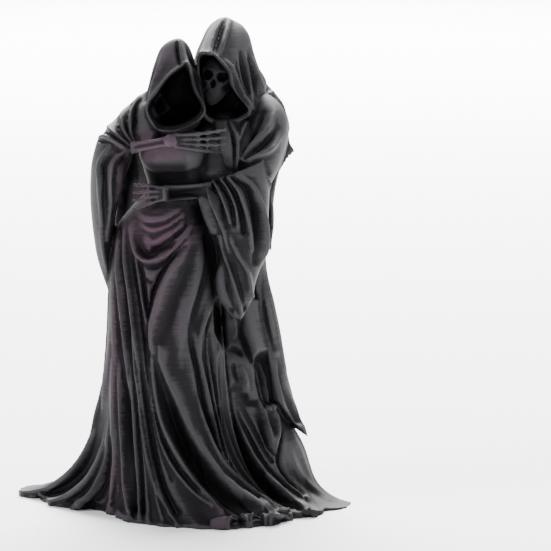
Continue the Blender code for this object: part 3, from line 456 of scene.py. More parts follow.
# Torn cloth over the robe: edge gives (angle, height) and kick how far it curls out
tornCloth = {
    "top": 85,
    "lean": 0.6,  # degrees that the strips lean for each unit down
    "leanFrom": 31,  # the height from which they lean
    "begin": 13,  # how far below the top the cloth has its full thickness
    "waves": (0.7, (27, 8), (61, 9)),  # depth, then count and seed of broad and of fine ones
    "folds": [
        # the neck and the shoulder
        ((0.3, 0.8, 0.7, 0.2), (2, 2.5), [(252, 103), (260, 99), (268, 95), (274, 91)]),
        ((-0.2, -0.8, -0.8, -0.2), (1.6, 1.6), [(254, 98), (261, 94), (267, 89), (271, 84)]),
        ((-0.2, -0.9, -0.9, -0.3), (2, 2), [(255, 104), (264, 103), (275, 105), (284, 112)]),
        ((0.2, 0.6, 0.8, 0.3), (2, 3), [(257, 107), (270, 109), (281, 115), (287, 128)]),
        # the strip beside the sleeve and the panels below it
        ((0.2, 0.8, 0.8, 0.4), (2, 2), [(269, 185), (270, 210), (269, 235), (267, 252)]),
        ((-0.2, -0.8, -0.8, -0.3), (1.6, 1.6), [(266, 185), (266, 212), (265, 236), (263, 250)]),
        ((0, -0.6, -0.7, -0.3), (2, 2.5), [(262, 262), (264, 295), (268, 325), (275, 350)]),
        ((0, 0.5, 0.6, 0.3), (3, 3), [(268, 262), (271, 295), (277, 330), (285, 370)]),
        ((0, -0.5, -0.7, -0.5), (2, 3), [(276, 350), (282, 380), (290, 405), (298, 422)]),
        ((0, 0.4, 0.6, 0.3), (2.5, 2.5), [(280, 362), (287, 390), (296, 412), (304, 430)]),
    ],
    "cloak": dict(
        sides=(60, 300),
        edge=[(60, 84), (63, 60), (64.5, 30), (66, 22), (71, 19.6), (80, 17), (87, 14.6), (91, 13.2),
              (95, 18.8), (104, 22), (112, 12), (119, 20), (130, 15), (138, 23), (147, 11), (158, 19),
              (166, 14), (178, 24), (186, 13), (198, 20), (207, 10), (217, 21), (228, 14), (240, 25),
              (250, 18), (262, 34), (275, 52), (288, 66), (300, 76)],
        kick=[(60, 0), (80, 0.2), (88, 0.7), (92, 0.9), (96, 0.4), (112, 0.8), (147, 0.9), (186, 0.8),
              (207, 1.0), (300, 0)],
        walls=2,
    ),
    "cape": dict(
        sides=(72, 278),
        edge=[(72, 80), (79, 60), (82, 52.5), (86, 52), (89, 58), (91.5, 68), (97, 73), (101, 71.5),
              (106, 76), (116, 70), (126, 63), (138, 69), (152, 56), (163, 64), (176, 58), (190, 67),
              (207, 55), (221, 64), (238, 57), (252, 68), (264, 62), (278, 80)],
        kick=[(72, 0), (92, 0.2), (99, 2.4), (106, 0.6), (152, 0.8), (207, 0.8), (278, 0)],
        walls=3.2,
    ),
}


def tornLayer(sides, edge, kick, walls):
    start, end = sides
    top = tornCloth["top"]
    waveDepth, broad, fine = tornCloth["waves"]

    def place(u, v):
        turn = np.minimum(u, 1 - u) * 2
        base = start + (end - start) * turn
        outside = u < 0.5
        edgeHeight = np.interp(base, *zip(*edge))
        drop = np.sin(np.pi * v / 2)
        height = top + (edgeHeight - top) * drop
        angle = base - tornCloth["lean"] * np.clip(tornCloth["leanFrom"] - height, 0, tornCloth["leanFrom"])
        x, y, _ = robeRing(angle, height, robe)
        outX, outY = np.sin(np.radians(angle)), -np.cos(np.radians(angle))
        hem = np.clip((top - edgeHeight) / 10, 0, 1) * np.clip(np.minimum(turn, 1 - turn) * 25, 0.1, 1)
        begun = np.sin(np.pi / 2 * np.clip((top - height) / tornCloth["begin"], 0, 1))
        eased = begun**1.5
        lift = np.where(outside, walls * mould["cloakWall"] / unit * hem * eased, -0.7)
        behind = np.clip((angle - 95) / 25, 0.15, 1)
        wave = waveDepth * (pleats(angle, *broad) + 0.3 * pleats(angle, *fine)) * begun * outside * behind
        lift = lift + wave + np.interp(base, *zip(*kick)) * drop**8
        return x + lift * outX, y + lift * outY, height

    return place


# Hoods: stops round the rim and over the crown, each (place round it, x, y, z)
companionHood = {
    "rim": [
        (0, 1.0, -13.2, 92.2),
        (35, 3.0, -13.6, 86.9),
        (75, 4.9, -14.2, 82.7),
        (100, 4.2, -14.8, 81.2),
        (140, 1.4, -15.6, 79.4),
        (180, -1.9, -16.2, 78.5),
        (215, -4.8, -15.8, 79.0),
        (245, -6.5, -15.0, 81.2),
        (270, -6.9, -14.4, 83.3),
        (300, -5.3, -14.0, 86.2),
        (335, -2.2, -13.4, 90.0),
    ],
    "crown": [
        (0, -0.9, -7.5, 96.5),
        (20, 0.9, -7.5, 95.6),
        (45, 2.2, -7.5, 93.2),
        (80, 3.1, -7.5, 87.5),
        (110, 4.2, -7.5, 82.5),
        (145, 2.6, -7.5, 78.5),
        (180, -1.5, -7.5, 77.0),
        (215, -5.6, -7.5, 78.5),
        (255, -7.6, -7.5, 83.0),
        (285, -6.6, -7.5, 87.6),
        (310, -5.4, -7.5, 91.8),
        (335, -3.9, -7.5, 94.9),
        (350, -2.2, -7.5, 96.1),
    ],
    "heart": (-1.6, -14.0, 84.6),
    "hollow": 9.0,
    "nape": 6.5,
    "folds": [
        ((0.4, 0.6, 0.6, 0.2), (1.4, 2.4), [(180, 42), (181.5, 54), (183.5, 66)]),
        ((-0.3, -0.7, -0.7, -0.3), (1.3, 1.3), [(177, 43), (178, 54), (180, 65)]),
        ((-0.2, -0.5, -0.5, -0.2), (2, 2), [(187, 46), (191, 57), (196, 70)]),
        ((0, 0.4, 0.4, 0.1), (2.5, 3), [(165, 52), (158, 68), (152, 86), (148, 104)]),
        ((0, -0.4, -0.4, -0.2), (1.6, 1.6), [(160, 58), (154, 74), (148, 92), (144, 108)]),
    ],
    "hollowRings": [(0, 0.15, 7.6), (0.3, 0.6, 5.8), (0.6, 0.84, 2.0), (0.8, 1, 0), (1, 1.04, -2.6)],
}
reaperHood = {
    "rim": [
        (0, 6.0, -11.5, 94.0),
        (30, 8.0, -11.0, 92.2),
        (55, 9.8, -10.4, 89.9),
        (75, 10.4, -10.0, 87.2),
        (95, 11.8, -9.4, 84.6),
        (115, 13.8, -8.6, 81.8),
        (135, 12.2, -8.8, 80.3),
        (180, 7.0, -9.5, 79.6),
        (225, 4.4, -9.5, 81.0),
        (270, 3.6, -9.8, 86.0),
        (305, 3.0, -10.6, 90.6),
        (335, 3.6, -11.3, 93.9),
    ],
    "crown": [
        (0, 8.4, 0.5, 100.35),
        (15, 10.0, 0.5, 99.7),
        (32, 12.0, 0.5, 98.5),
        (50, 13.4, 0.5, 96.4),
        (70, 14.3, 0.5, 93.0),
        (90, 15.4, 0.5, 89.8),
        (108, 16.9, 0.5, 86.6),
        (120, 15.8, 0.5, 84.2),
        (150, 12.0, 0.5, 80.0),
        (180, 8.0, 0.5, 78.5),
        (220, 2.5, 0.5, 80.0),
        (260, 1.6, 0.5, 86.0),
        (290, 2.4, 0.5, 92.5),
        (310, 3.9, 0.5, 96.0),
        (330, 5.4, 0.5, 98.7),
        (345, 6.9, 0.5, 99.9),
    ],
    "heart": (7.2, -10.0, 87.4),
    "hollow": 8.0,
    "nape": 8.5,
    "folds": [
        ((-0.5, -1, -1, -0.4), (1.8, 1.5), [(225.5, 20), (221, 32), (217.5, 43), (215, 54)]),
        ((0.3, 0.6, 0.6, 0.2), (2, 1.5), [(221.5, 21), (216, 33), (212.5, 43), (210, 53)]),
        ((0.3, 0.6, 0.6, 0.2), (1.5, 3), [(229, 21), (225.5, 32), (222, 43), (219.5, 54)]),
        ((0, 0.5, 0.6, 0.4), (1.6, 1.6), [(222, 58), (231, 66), (236, 80), (243, 95), (252, 108)]),
        ((0, -0.6, -0.7, -0.3), (1.2, 1.2), [(236, 58), (238, 72), (241, 85), (246, 97)]),
        ((0, -0.8, -0.8, -0.2), (1.3, 1.3), [(240, 50), (242, 65), (245, 80), (249, 94)]),
        ((0, 0.5, 0.5, 0.2), (1.6, 1.6), [(243, 48), (246, 66), (249, 84), (252, 104)]),
        ((0, -0.6, -0.6, -0.2), (1.3, 1.6), [(247, 54), (250, 70), (254, 84), (257, 98)]),
        ((0, 0.5, 0.5, 0.2), (2, 2), [(250, 52), (254, 68), (259, 80), (264, 90)]),
    ],
}


def hoodShape(hood):
    heart = np.array(hood["heart"])[:, None]
    hollow, nape = hood["hollow"], hood["nape"]

    def place(u, v):
        edge, dome = aroundThrough(u * 360, hood["rim"]), aroundThrough(u * 360, hood["crown"])
        reach = edge - heart
        inner = edge - reach * mould["hoodWall"] / unit / np.linalg.norm(reach, axis=0)
        middle = dome.mean(axis=1)[:, None]
        back = np.array([0, 1, 0])[:, None]
        rings = [  # from deep inside, out to the rim, over the crown and down to the nape
            (0.00, heart + reach * 0.3 + back * hollow),
            (0.14, heart + reach * 0.74 + back * hollow * 0.8),
            (0.30, heart + reach * 0.87 + back * 2.2),
            (0.40, inner),
            (0.44, edge),
            (0.48, edge + back * 0.6),
            (0.72, dome),
            (0.88, middle + (dome - middle) * 0.8 + back * nape * 0.7),
            (1.00, middle + (dome - middle) * 0.2 + back * nape),
        ]
        knots = np.array([share for share, _ in rings])
        places = np.stack([ring for _, ring in rings])
        slopes = np.gradient(places, knots, axis=0)
        slopes[3:5] = (places[4] - places[3]) / (knots[4] - knots[3])
        left = np.clip(np.searchsorted(knots, v, "right") - 1, 0, len(rings) - 2)
        span = knots[left + 1] - knots[left]
        share = (v - knots[left]) / span
        column = np.arange(v.size)
        before, after = places[left, :, column].T, places[left + 1, :, column].T
        rise, fall = share**2 * (3 - 2 * share), share * (1 - share)
        bend = slopes[left, :, column].T * (1 - share) - slopes[left + 1, :, column].T * share
        return before * (1 - rise) + after * rise + span * fall * bend

    return place


# The empty space in a hood: rings of (place along it, share of the way out to the rim, depth)
def hollowShape(hood):
    heart = np.array(hood["heart"])[:, None]

    def place(u, v):
        reach = aroundThrough(u * 360, hood["rim"]) - heart
        share, depth = through(v, hood["hollowRings"])
        inside = 1 - mould["rimWall"] / unit / np.linalg.norm(reach, axis=0)
        return heart + reach * share * inside + np.array([0, 1, 0])[:, None] * depth

    return place


# Arms and sleeves: limbs are stops of (share, x, y, z, width, depth)
def limbShape(stops):
    def place(u, v):
        x, y, z, wide, deep = through(v, stops)
        ahead = np.stack(through(np.clip(v + 0.01, 0, 1), stops)[:3])
        behind = np.stack(through(np.clip(v - 0.01, 0, 1), stops)[:3])
        line = ahead - behind
        line = line / np.linalg.norm(line, axis=0)
        side = np.stack([line[2], np.zeros_like(x), -line[0]])
        side = side / np.maximum(np.linalg.norm(side, axis=0), 1e-6)
        front = np.cross(side.T, line.T).T
        turn = 2 * np.pi * u
        ring = wide * np.cos(turn) * side + deep * np.sin(turn) * front
        return x + ring[0], y + ring[1], z + ring[2]

    return place


def sleeveShape(sleeve):
    rings, tatters, seed = sleeve["rings"], sleeve["tatters"], sleeve["seed"]
    waveDepth, waveCount = sleeve["waves"]
    low, top = rings[0][0], rings[-1][0]

    def place(u, v):
        angle = u * 360
        ragged = tatters * pleats(angle, sleeve["tears"], seed) * np.clip(0.25 - v, 0, 1) * 4
        height = low + (top - low) * v
        turn = np.radians(angle)
        middleX, halfWidth, middleY, front, back = through(height, rings)
        depth = np.where(np.cos(turn) > 0, front, back)
        lift = sleeve["tilt"] * halfWidth * np.sin(turn) * v**4
        wave = waveDepth * pleats(angle, waveCount, seed) * np.clip(0.2 - np.cos(turn), 0, 1)
        x, y = middleX + (halfWidth + wave) * np.sin(turn), middleY - (depth + wave) * np.cos(turn)
        return x, y, height - ragged + lift

    return place


companionArm = {
    "line": [
        (0.0, -4.0, -6.0, 84.4, 3.0, 3.8),
        (0.3, -7.9, -7.0, 81.3, 3.3, 4.2),
        (0.65, -11.4, -9.0, 77.6, 3.4, 4.6),
        (1.0, -13.8, -10.6, 74.2, 3.7, 4.6),
    ],
    "folds": [
        ((0.5, 1.1, 0.8, 0.2), (2.5, 2.5), [(135, 143), (129, 132), (131, 118), (137, 103), (142, 92)]),
        ((0.5, 1, 0.7, 0.2), (2, 2.5), [(137, 142), (138, 128), (141, 112), (146, 97)]),
        ((0.5, 1.1, 0.9, 0.2), (2.5, 2.5), [(133, 144), (124, 134), (122, 121), (125, 108)]),
        ((0.4, 1, 0.9, 0.2), (2.5, 2.5), [(131, 146), (119, 138), (111, 131), (108, 122)]),
        ((0.3, 1, 1.1, 0.3), (3, 3), [(128, 148), (116, 143), (105, 139), (96, 142)]),
        ((-0.4, -1, -0.8, -0.2), (2, 2), [(136, 141), (134, 128), (136, 112), (143, 95)]),
        ((-0.4, -1.1, -0.8, -0.2), (2, 2), [(134, 143), (127, 128), (127, 113), (131, 102)]),
        ((-0.4, -1.1, -0.8, -0.2), (2, 2), [(132, 145), (121, 133), (117, 122), (117, 114)]),
        ((-0.4, -0.9, -0.8, -0.2), (2, 2), [(129, 147), (117, 140), (108, 134), (101, 132)]),
    ],
}
reaperArm = {
    "line": [
        (0.0, 13.0, 1.0, 83.0, 3.6, 5.0),
        (0.3, 16.2, -1.0, 79.5, 4.8, 5.8),
        (0.7, 15.2, -6.0, 72.8, 4.8, 6.0),
        (1.0, 12.8, -9.5, 68.8, 5.0, 5.8),
    ],
    "folds": [
        ((0.4, 0.9, 0.6, 0.1), (2, 2), [(238, 165), (239, 148), (245, 130), (252, 112)]),
        ((-0.3, -1, -0.8, -0.1), (2, 3), [(240, 156), (248, 143), (256, 130), (264, 112)]),
        ((0.4, 0.9, 0.9, 0.2), (3, 4), [(242, 158), (256, 144), (268, 130), (274, 112)]),
        ((-0.3, -0.7, -0.6, 0), (2, 3), [(242, 161), (256, 151), (270, 138), (280, 124)]),
        ((0.3, 0.8, 0.9, 0.2), (3, 3), [(241, 164), (254, 158), (268, 151), (280, 136)]),
        ((-0.4, -1.2, -1, 0), (3, 3), [(242, 169), (254, 165), (264, 168), (270, 176)]),
        ((0.3, 0.9, 0.8, 0), (3, 3), [(242, 173), (255, 171), (265, 180), (270, 200)]),
    ],
}
companionSleeve = {  # rings of (height, middle x, half width, middle y, front depth, back depth)
    "rings": [
        (45.0, -14.7, 0.3, -6.0, 0.5, 0.5),
        (48.5, -15.2, 1.0, -6.5, 1.4, 1.4),
        (52, -15.6, 1.6, -7.2, 2.0, 2.0),
        (57, -15.9, 2.0, -8.2, 3.0, 3.0),
        (64, -15.8, 2.6, -9.4, 4.2, 4.0),
        (69, -14.9, 3.4, -10.0, 5.0, 4.4),
        (72, -14.1, 3.9, -10.2, 5.2, 4.4),
        (76, -13.4, 3.6, -10.0, 4.6, 3.8),
    ],
    "tatters": 0.5,  # depth of the tears in its edge
    "tears": 7,
    "seed": 4,
    "tilt": 0,  # how far its top is tilted
    "waves": (0.6, 9),  # depth and count on its back
    "folds": [
        ((0.3, 0.9, 0.8, 0.5, 0.2), (2, 2), [(126, 150), (115, 156), (110, 175), (109, 205), (106, 240)]),
        ((0.2, 0.8, 0.6, 0.4), (2, 2), [(110, 146), (102, 158), (100, 185), (102, 225)]),
        ((-0.3, -0.9, -0.7, -0.3), (2, 2), [(119, 152), (107, 162), (105, 185), (105, 225)]),
        ((-0.3, -0.8, -0.6, -0.2), (1.6, 1.6), [(126, 154), (117, 166), (114, 190), (112, 215)]),
        ((0.3, 0.7, 0.6, 0.3), (2, 2), [(127, 153), (121, 168), (118, 190), (114, 215)]),
        ((0, 0.5, 0.5, 0.1), (2, 2), [(101, 215), (102, 240), (106, 265), (111, 285)]),
    ],
}
reaperSleeve = {
    "rings": [
        (41.0, 11.2, 0.9, -12.0, 0.8, 1.4),
        (43.5, 10.8, 2.7, -12.0, 2.0, 3.4),
        (48, 10.6, 4.1, -11.6, 3.2, 5.0),
        (52, 11.6, 4.4, -11.4, 4.0, 5.6),
        (57, 11.7, 5.2, -11.4, 4.8, 6.2),
        (62, 11.1, 6.2, -11.4, 5.4, 6.6),
        (67, 10.7, 6.7, -11.2, 6.0, 6.6),
        (70.5, 11.4, 5.6, -10.6, 5.4, 6.0),
    ],
    "tatters": 1.2,
    "tears": 7,
    "seed": 6,
    "tilt": 0.42,
    "waves": (0.6, 9),
    "folds": [
        ((0.5, 0.9, 0.8, 0.5), (2, 2), [(203, 183), (204, 198), (208, 214), (214, 232)]),
        ((0.5, 1.1, 1, 0.6, 0.5), (2, 2), [(207, 182), (212, 197), (219, 214), (225, 232), (229, 252)]),
        ((0.5, 1.1, 0.9, 0.3), (2, 2), [(214, 181), (221, 192), (226, 205), (229, 222)]),
        ((0.5, 1.1, 1, 0.3), (2, 2), [(221, 179), (229, 190), (235, 204), (238, 226)]),
        ((0.5, 1.2, 1.3, 1, 0.5), (2.5, 3), [(228, 178), (237, 189), (243, 206), (249, 230), (253, 250)]),
        ((0.5, 1.2, 1.4, 1.1, 0.6), (3, 3), [(238, 176), (250, 185), (257, 200), (262, 225), (264, 262)]),
        ((-0.5, -1.1, -0.9, -0.3), (2, 2), [(205, 184), (209, 199), (215, 216), (220, 232)]),
        ((-0.5, -1.1, -0.9, -0.3), (2, 2), [(211, 183), (217, 194), (223, 209), (228, 226)]),
        ((-0.5, -1.1, -1, -0.5), (2, 2.5), [(218, 181), (225, 191), (231, 206), (234, 224)]),
        ((-0.5, -1.1, -1.1, -0.7), (2, 2.5), [(225, 179), (233, 191), (240, 208), (244, 232)]),
        ((-0.5, -1.2, -1.3, -1, -0.6), (3, 3), [(233, 178), (245, 188), (252, 205), (256, 232), (256, 262)]),
        ((0, 0.9, 0.9, 0.5), (2, 3), [(218, 232), (226, 255), (234, 280), (241, 308)]),
        ((0, 0.8, 0.9, 0.6), (2, 3), [(228, 232), (238, 254), (246, 270), (250, 296)]),
        ((0, -0.8, -0.9, -0.5), (2, 3), [(222, 240), (231, 265), (239, 290), (245, 310)]),
        ((0, -0.6, -0.8, -0.5), (3, 3), [(214, 236), (221, 262), (228, 290), (233, 310)]),
    ],
}


# Bones: fingers, forearms and the skull
def boneShape(start, end, bow, radius, joints):
    start, end, bow = np.array(start, float), np.array(end, float), np.array(bow, float)

    def place(u, v):
        line = start[:, None] + (end - start)[:, None] * v + bow[:, None] * (4 * v * (1 - v))
        knuckle = np.abs(np.cos(np.pi * joints * v)) ** 6
        thick = radius * (bones["shaft"] + bones["knuckle"] * knuckle)
        thick = thick * np.where(v < 0.5, 1.0, 1.0 - 0.35 * (v - 0.5))
        way = (end - start) / np.linalg.norm(end - start)
        side = np.cross(way, (0, 1, 0))
        side = side / np.linalg.norm(side)
        front = np.cross(side, way)
        turn = 2 * np.pi * u
        return line + thick * (np.cos(turn) * side[:, None] + np.sin(turn) * front[:, None])

    return place


def eggShape(centre, size):
    def place(u, v):
        turn, rise = 2 * np.pi * u, np.pi * (0.04 + 0.92 * v)
        x = centre[0] + size[0] * np.sin(rise) * np.sin(turn)
        y = centre[1] - size[1] * np.sin(rise) * np.cos(turn)
        return x, y, centre[2] - size[2] * np.cos(rise)

    return place


bones = {
    "fingers": 4,
    "fingerRadius": 0.42,
    "fingerBow": (0, -0.7, 0),  # how far its middle bends
    "palmBow": (0, -0.25, 0),
    "palmRoot": 0.9,  # half height of the palm at the wrist
    "palmDepth": (0, 0.35, 0),
    "webDepth": 0.35,  # of what joins the bones
    "forearmRadius": 0.60,
    "forearmBow": (0, -0.2, 0),
    "shaft": 0.72,  # thickness between the knuckles
    "knuckle": 0.42,  # what a knuckle adds to it
    "companion": dict(
        elbow=(-9.8, -15.0, 75.2),
        wrist=(-1.9, -18.6, 77.0),
        forearmGap=1.1,
        knuckles=((3.6, -18.0, 78.3), (3.4, -17.2, 75.0)),
        tips=((8.9, -14.6, 78.7), (8.6, -14.4, 74.3)),
        cuff=(1.35, 1.2, 1.3),
    ),
    "reaper": dict(
        elbow=(6.0, -13.6, 66.6),
        wrist=(-3.0, -13.6, 66.0),
        forearmGap=2.2,
        knuckles=((-6.6, -13.0, 67.6), (-6.4, -13.2, 63.9)),
        tips=((-9.6, -10.4, 67.4), (-9.8, -11.4, 62.6)),
        cuff=(1.0, 1.0, 1.7),
    ),
}


def addHand(figure, hand):
    elbow, wrist = np.array(hand["elbow"]), np.array(hand["wrist"])
    for side in (-0.5, 0.5):
        apart = np.array((0, 0, side * hand["forearmGap"]))
        bone = boneShape(elbow + apart, wrist + apart, bones["forearmBow"], bones["forearmRadius"], 1)
        addForm(figure, grids["forearm"], bone)
    wide, thin = hand["forearmGap"] / 2, bones["webDepth"]
    web = [(0, *elbow, wide, thin), (1, *wrist, wide, thin)]
    addForm(figure, grids["palm"], limbShape(web))
    addForm(figure, grids["cuff"], eggShape(wrist, hand["cuff"]))
    palmEnd = (np.array(hand["knuckles"][0]) + np.array(hand["knuckles"][1])) / 2
    palmHeight = abs(hand["knuckles"][0][2] - hand["knuckles"][1][2]) / 2
    palmStart, palmEnd = wrist + bones["palmDepth"], palmEnd + bones["palmDepth"]
    palm = [(0, *palmStart, bones["palmRoot"], thin), (1, *palmEnd, palmHeight, thin)]
    addForm(figure, grids["palm"], limbShape(palm))
    for number in range(bones["fingers"]):
        share = number / (bones["fingers"] - 1)
        knuckle = np.array(hand["knuckles"][0]) * (1 - share) + np.array(hand["knuckles"][1]) * share
        tip = np.array(hand["tips"][0]) * (1 - share) + np.array(hand["tips"][1]) * share
        root = wrist + (knuckle - wrist) * 0.15 + np.array((0, 0, 0.8 - 1.6 * share))
        palmBone = boneShape(root, knuckle, bones["palmBow"], bones["fingerRadius"], 1)
        addForm(figure, grids["palmBone"], palmBone)
        finger = boneShape(knuckle, tip, bones["fingerBow"], bones["fingerRadius"], 3)
        addForm(figure, grids["finger"], finger)


skull = {
    "middle": (6.7, -6.3, 87.9),
    "size": (3.4, 4.0, 5.0),
    "yaw": -6,
    "roll": 11,
    "jaw": (0.34, 0.16, 0.14),  # how much narrower and shallower it is, and how far it juts out
    "sockets": [  # across, up, half width, half height, depth, as shares of the skull
        (-0.43, 0.24, 0.27, 0.17, 0.55),
        (0.43, 0.24, 0.27, 0.17, 0.55),
        (0.0, -0.05, 0.14, 0.15, 0.36),
        (-0.80, -0.24, 0.24, 0.24, 0.40),
        (0.80, -0.24, 0.24, 0.24, 0.40),
        (0.0, -0.42, 0.40, 0.03, 0.16),
        (-0.43, 0.47, 0.30, 0.05, -0.12),
        (0.43, 0.47, 0.30, 0.05, -0.12),
        (-0.45, -0.02, 0.22, 0.05, -0.12),
        (0.45, -0.02, 0.22, 0.05, -0.12),
    ],
    "toothGaps": (-0.27, -0.16, -0.05, 0.06, 0.17),
    "toothRows": (-0.32, -0.52),
    "toothGap": (0.02, 0.10, 0.07),  # half width, half height, depth
}
for row in skull["toothRows"]:
    skull["sockets"] += [(across, row, *skull["toothGap"]) for across in skull["toothGaps"]]


def skullShape(u, v):
    turn, rise = 2 * np.pi * u, np.pi * (0.03 + 0.94 * v)
    up = -np.cos(rise)
    across, front = np.sin(rise) * np.sin(turn), np.sin(rise) * np.cos(turn)
    jaw = np.clip(-up, 0, 1)
    narrow, shallow, jut = skull["jaw"]
    across = across * (1 - narrow * jaw**0.8)
    front = front * (1 - shallow * jaw) + jut * jaw * (front > 0)
    for side, level, wide, tall, deep in skull["sockets"]:
        away = ((across - side) / wide) ** 2 + ((up - level) / tall) ** 2
        front = front - deep * np.exp(-(away**1.5)) * (front > 0)
    points = np.stack([across, -front, up], axis=1) * np.array(skull["size"])
    points = turned(turned(points, skull["roll"], (2, 0)), skull["yaw"], (0, 1))
    return (points + np.array(skull["middle"])).T


# The companion's bust, the reaper's chest and the rolled hem
trunk = {
    "bust": [((-1.4, -10.2, 73.4), (7.0, 4.5, 4.4)), ((-4.0, -11.2, 73.6), (3.0, 3.4, 3.0)),
             ((1.7, -11.2, 73.6), (3.0, 3.4, 3.0))],
    "collar": ((-6.9, -9.8, 79.4), (2.8, 3.8, 4.8)),
    "chest": ((8.6, -4.5, 72.0), (7.6, 9.0, 9.6)),
    "chestPlates": [
        (0.6, 2, [(214, 121), (226, 121), (232, 132), (235, 150), (235, 164), (231, 168), (226, 163),
            (222, 150), (219, 135)]),
    ],
    "chestFolds": [
        ((0.2, 0.7, 0.7, 0.3), (1.6, 2), [(230, 122), (236, 138), (237, 152), (236, 168)]),
        ((-0.2, -0.8, -0.9, -0.4), (1.6, 1.6), [(227, 124), (232, 136), (234, 150), (234, 165)]),
        ((0.2, 0.7, 0.5, 0.1), (1.6, 2), [(248, 118), (242, 130), (238, 142), (237, 155)]),
    ],
}
rolledHem = {
    "start": 8,
    "end": 62,
    "rolls": 4,
    "radius": 1.35,
    "inset": 0.9,  # of its middle from the edge, and above the floor
    "sway": 0.7,
    "folds": [
        ((0.4, 0.7, 0.7, 0.4), (1.2, 1.2), [(228, 528), (229, 520), (237, 515), (245, 518), (248, 525)]),
        ((0.4, 0.7, 0.7, 0.4), (1.2, 1.2), [(250, 526), (252, 515), (258, 511), (263, 514), (266, 526)]),
        ((0.4, 0.7, 0.7, 0.4), (1.2, 1.2), [(270, 526), (272, 517), (283, 517), (297, 522)]),
        ((0.4, 0.7, 0.7, 0.4), (1.2, 1.2), [(262, 507), (275, 505), (290, 503), (289, 508), (274, 514)]),
        ((-0.5, -0.9, -0.5), (3, 3), [(233, 524), (238, 521), (243, 524)]),
        ((-0.5, -0.9, -0.5), (3, 3), [(256, 524), (258, 518), (261, 523)]),
        ((-0.5, -0.8, -0.5), (2, 2), [(275, 521), (283, 521), (290, 523)]),
    ],
}


def rolledHemShape(u, v):
    angle = rolledHem["start"] + (rolledHem["end"] - rolledHem["start"]) * v
    x, y = aroundThrough(angle, gown["hem"])[:2]
    wave = np.sin(np.pi * rolledHem["rolls"] * v)
    thick = rolledHem["radius"] * (0.85 + 0.25 * np.abs(wave))
    outX, outY = np.sin(np.radians(angle)), -np.cos(np.radians(angle))
    turn = 2 * np.pi * u
    out = thick * np.cos(turn) - rolledHem["inset"] + rolledHem["sway"] * wave
    height = rolledHem["inset"] + 0.5 * np.abs(wave) + thick * np.sin(turn)
    return x + out * outX, y + out * outY, height


def gatherForms():
    figure = bmesh.new()
    skirtFolds = gown["folds"] + robe["folds"]
    addForm(figure, grids["gown"], robeShape(gown), skirtFolds)
    addForm(figure, grids["robe"], robeShape(robe), skirtFolds, robe["plates"])
    for cloth in ("cloak", "cape"):
        addForm(figure, grids["tornCloth"], tornLayer(**tornCloth[cloth]), tornCloth["folds"])
    for hood in (companionHood, reaperHood):
        addForm(figure, grids["hood"], hoodShape(hood), hood["folds"])
    for arm in (companionArm, reaperArm):
        addForm(figure, grids["arm"], limbShape(arm["line"]), arm["folds"])
    for sleeve in (companionSleeve, reaperSleeve):
        addForm(figure, grids["sleeve"], sleeveShape(sleeve), sleeve["folds"])
    for centre, size in (*trunk["bust"], trunk["collar"]):
        addForm(figure, grids["bust"], eggShape(centre, size))
    addForm(figure, grids["chest"], eggShape(*trunk["chest"]), trunk["chestFolds"], trunk["chestPlates"])
    addForm(figure, grids["rolledHem"], rolledHemShape, rolledHem["folds"])
    addForm(figure, grids["skull"], skullShape)
    for owner in ("companion", "reaper"):
        addHand(figure, bones[owner])
    return figure


# What a modifier leaves of an object, as a plain mesh
def shaped(source, name, kind, **settings):
    modifier = source.modifiers.new(name, kind)
    for setting, value in settings.items():
        setattr(modifier, setting, value)
    graph = bpy.context.evaluated_depsgraph_get()
    mesh = bpy.data.meshes.new_from_object(source.evaluated_get(graph))
    source.modifiers.clear()
    source.data = mesh


def standOnFloor(piece):
    body = bmesh.new()
    body.from_mesh(piece.data)
    floor = mould["floorCut"] * unit
    parts = list(body.verts) + list(body.edges) + list(body.faces)
    cut = bmesh.ops.bisect_plane(
        body, geom=parts, dist=unit * 1e-4, plane_co=(0, 0, floor), plane_no=(0, 0, 1), clear_inner=True
    )
    rim = [part for part in cut["geom_cut"] if isinstance(part, bmesh.types.BMEdge)]
    bmesh.ops.holes_fill(body, edges=rim, sides=0)
    places = np.array([vert.co for vert in body.verts])
    middle = (places.min(axis=0) + places.max(axis=0)) / 2
    shift = Vector((-middle[0], -middle[1], -floor))
    bmesh.ops.translate(body, verts=body.verts, vec=shift)
    body.to_mesh(piece.data)
    body.free()
    return shift


def makeHollow(hood):
    form = bmesh.new()
    addForm(form, grids["hollow"], hollowShape(hood))
    bmesh.ops.remove_doubles(form, verts=form.verts, dist=unit * 1e-3)
    bmesh.ops.recalc_face_normals(form, faces=form.faces)
    mesh = bpy.data.meshes.new("hollow")
    form.to_mesh(mesh)
    form.free()
    hollow = bpy.data.objects.new("hollow", mesh)
    bpy.context.scene.collection.objects.link(hollow)
    return hollow


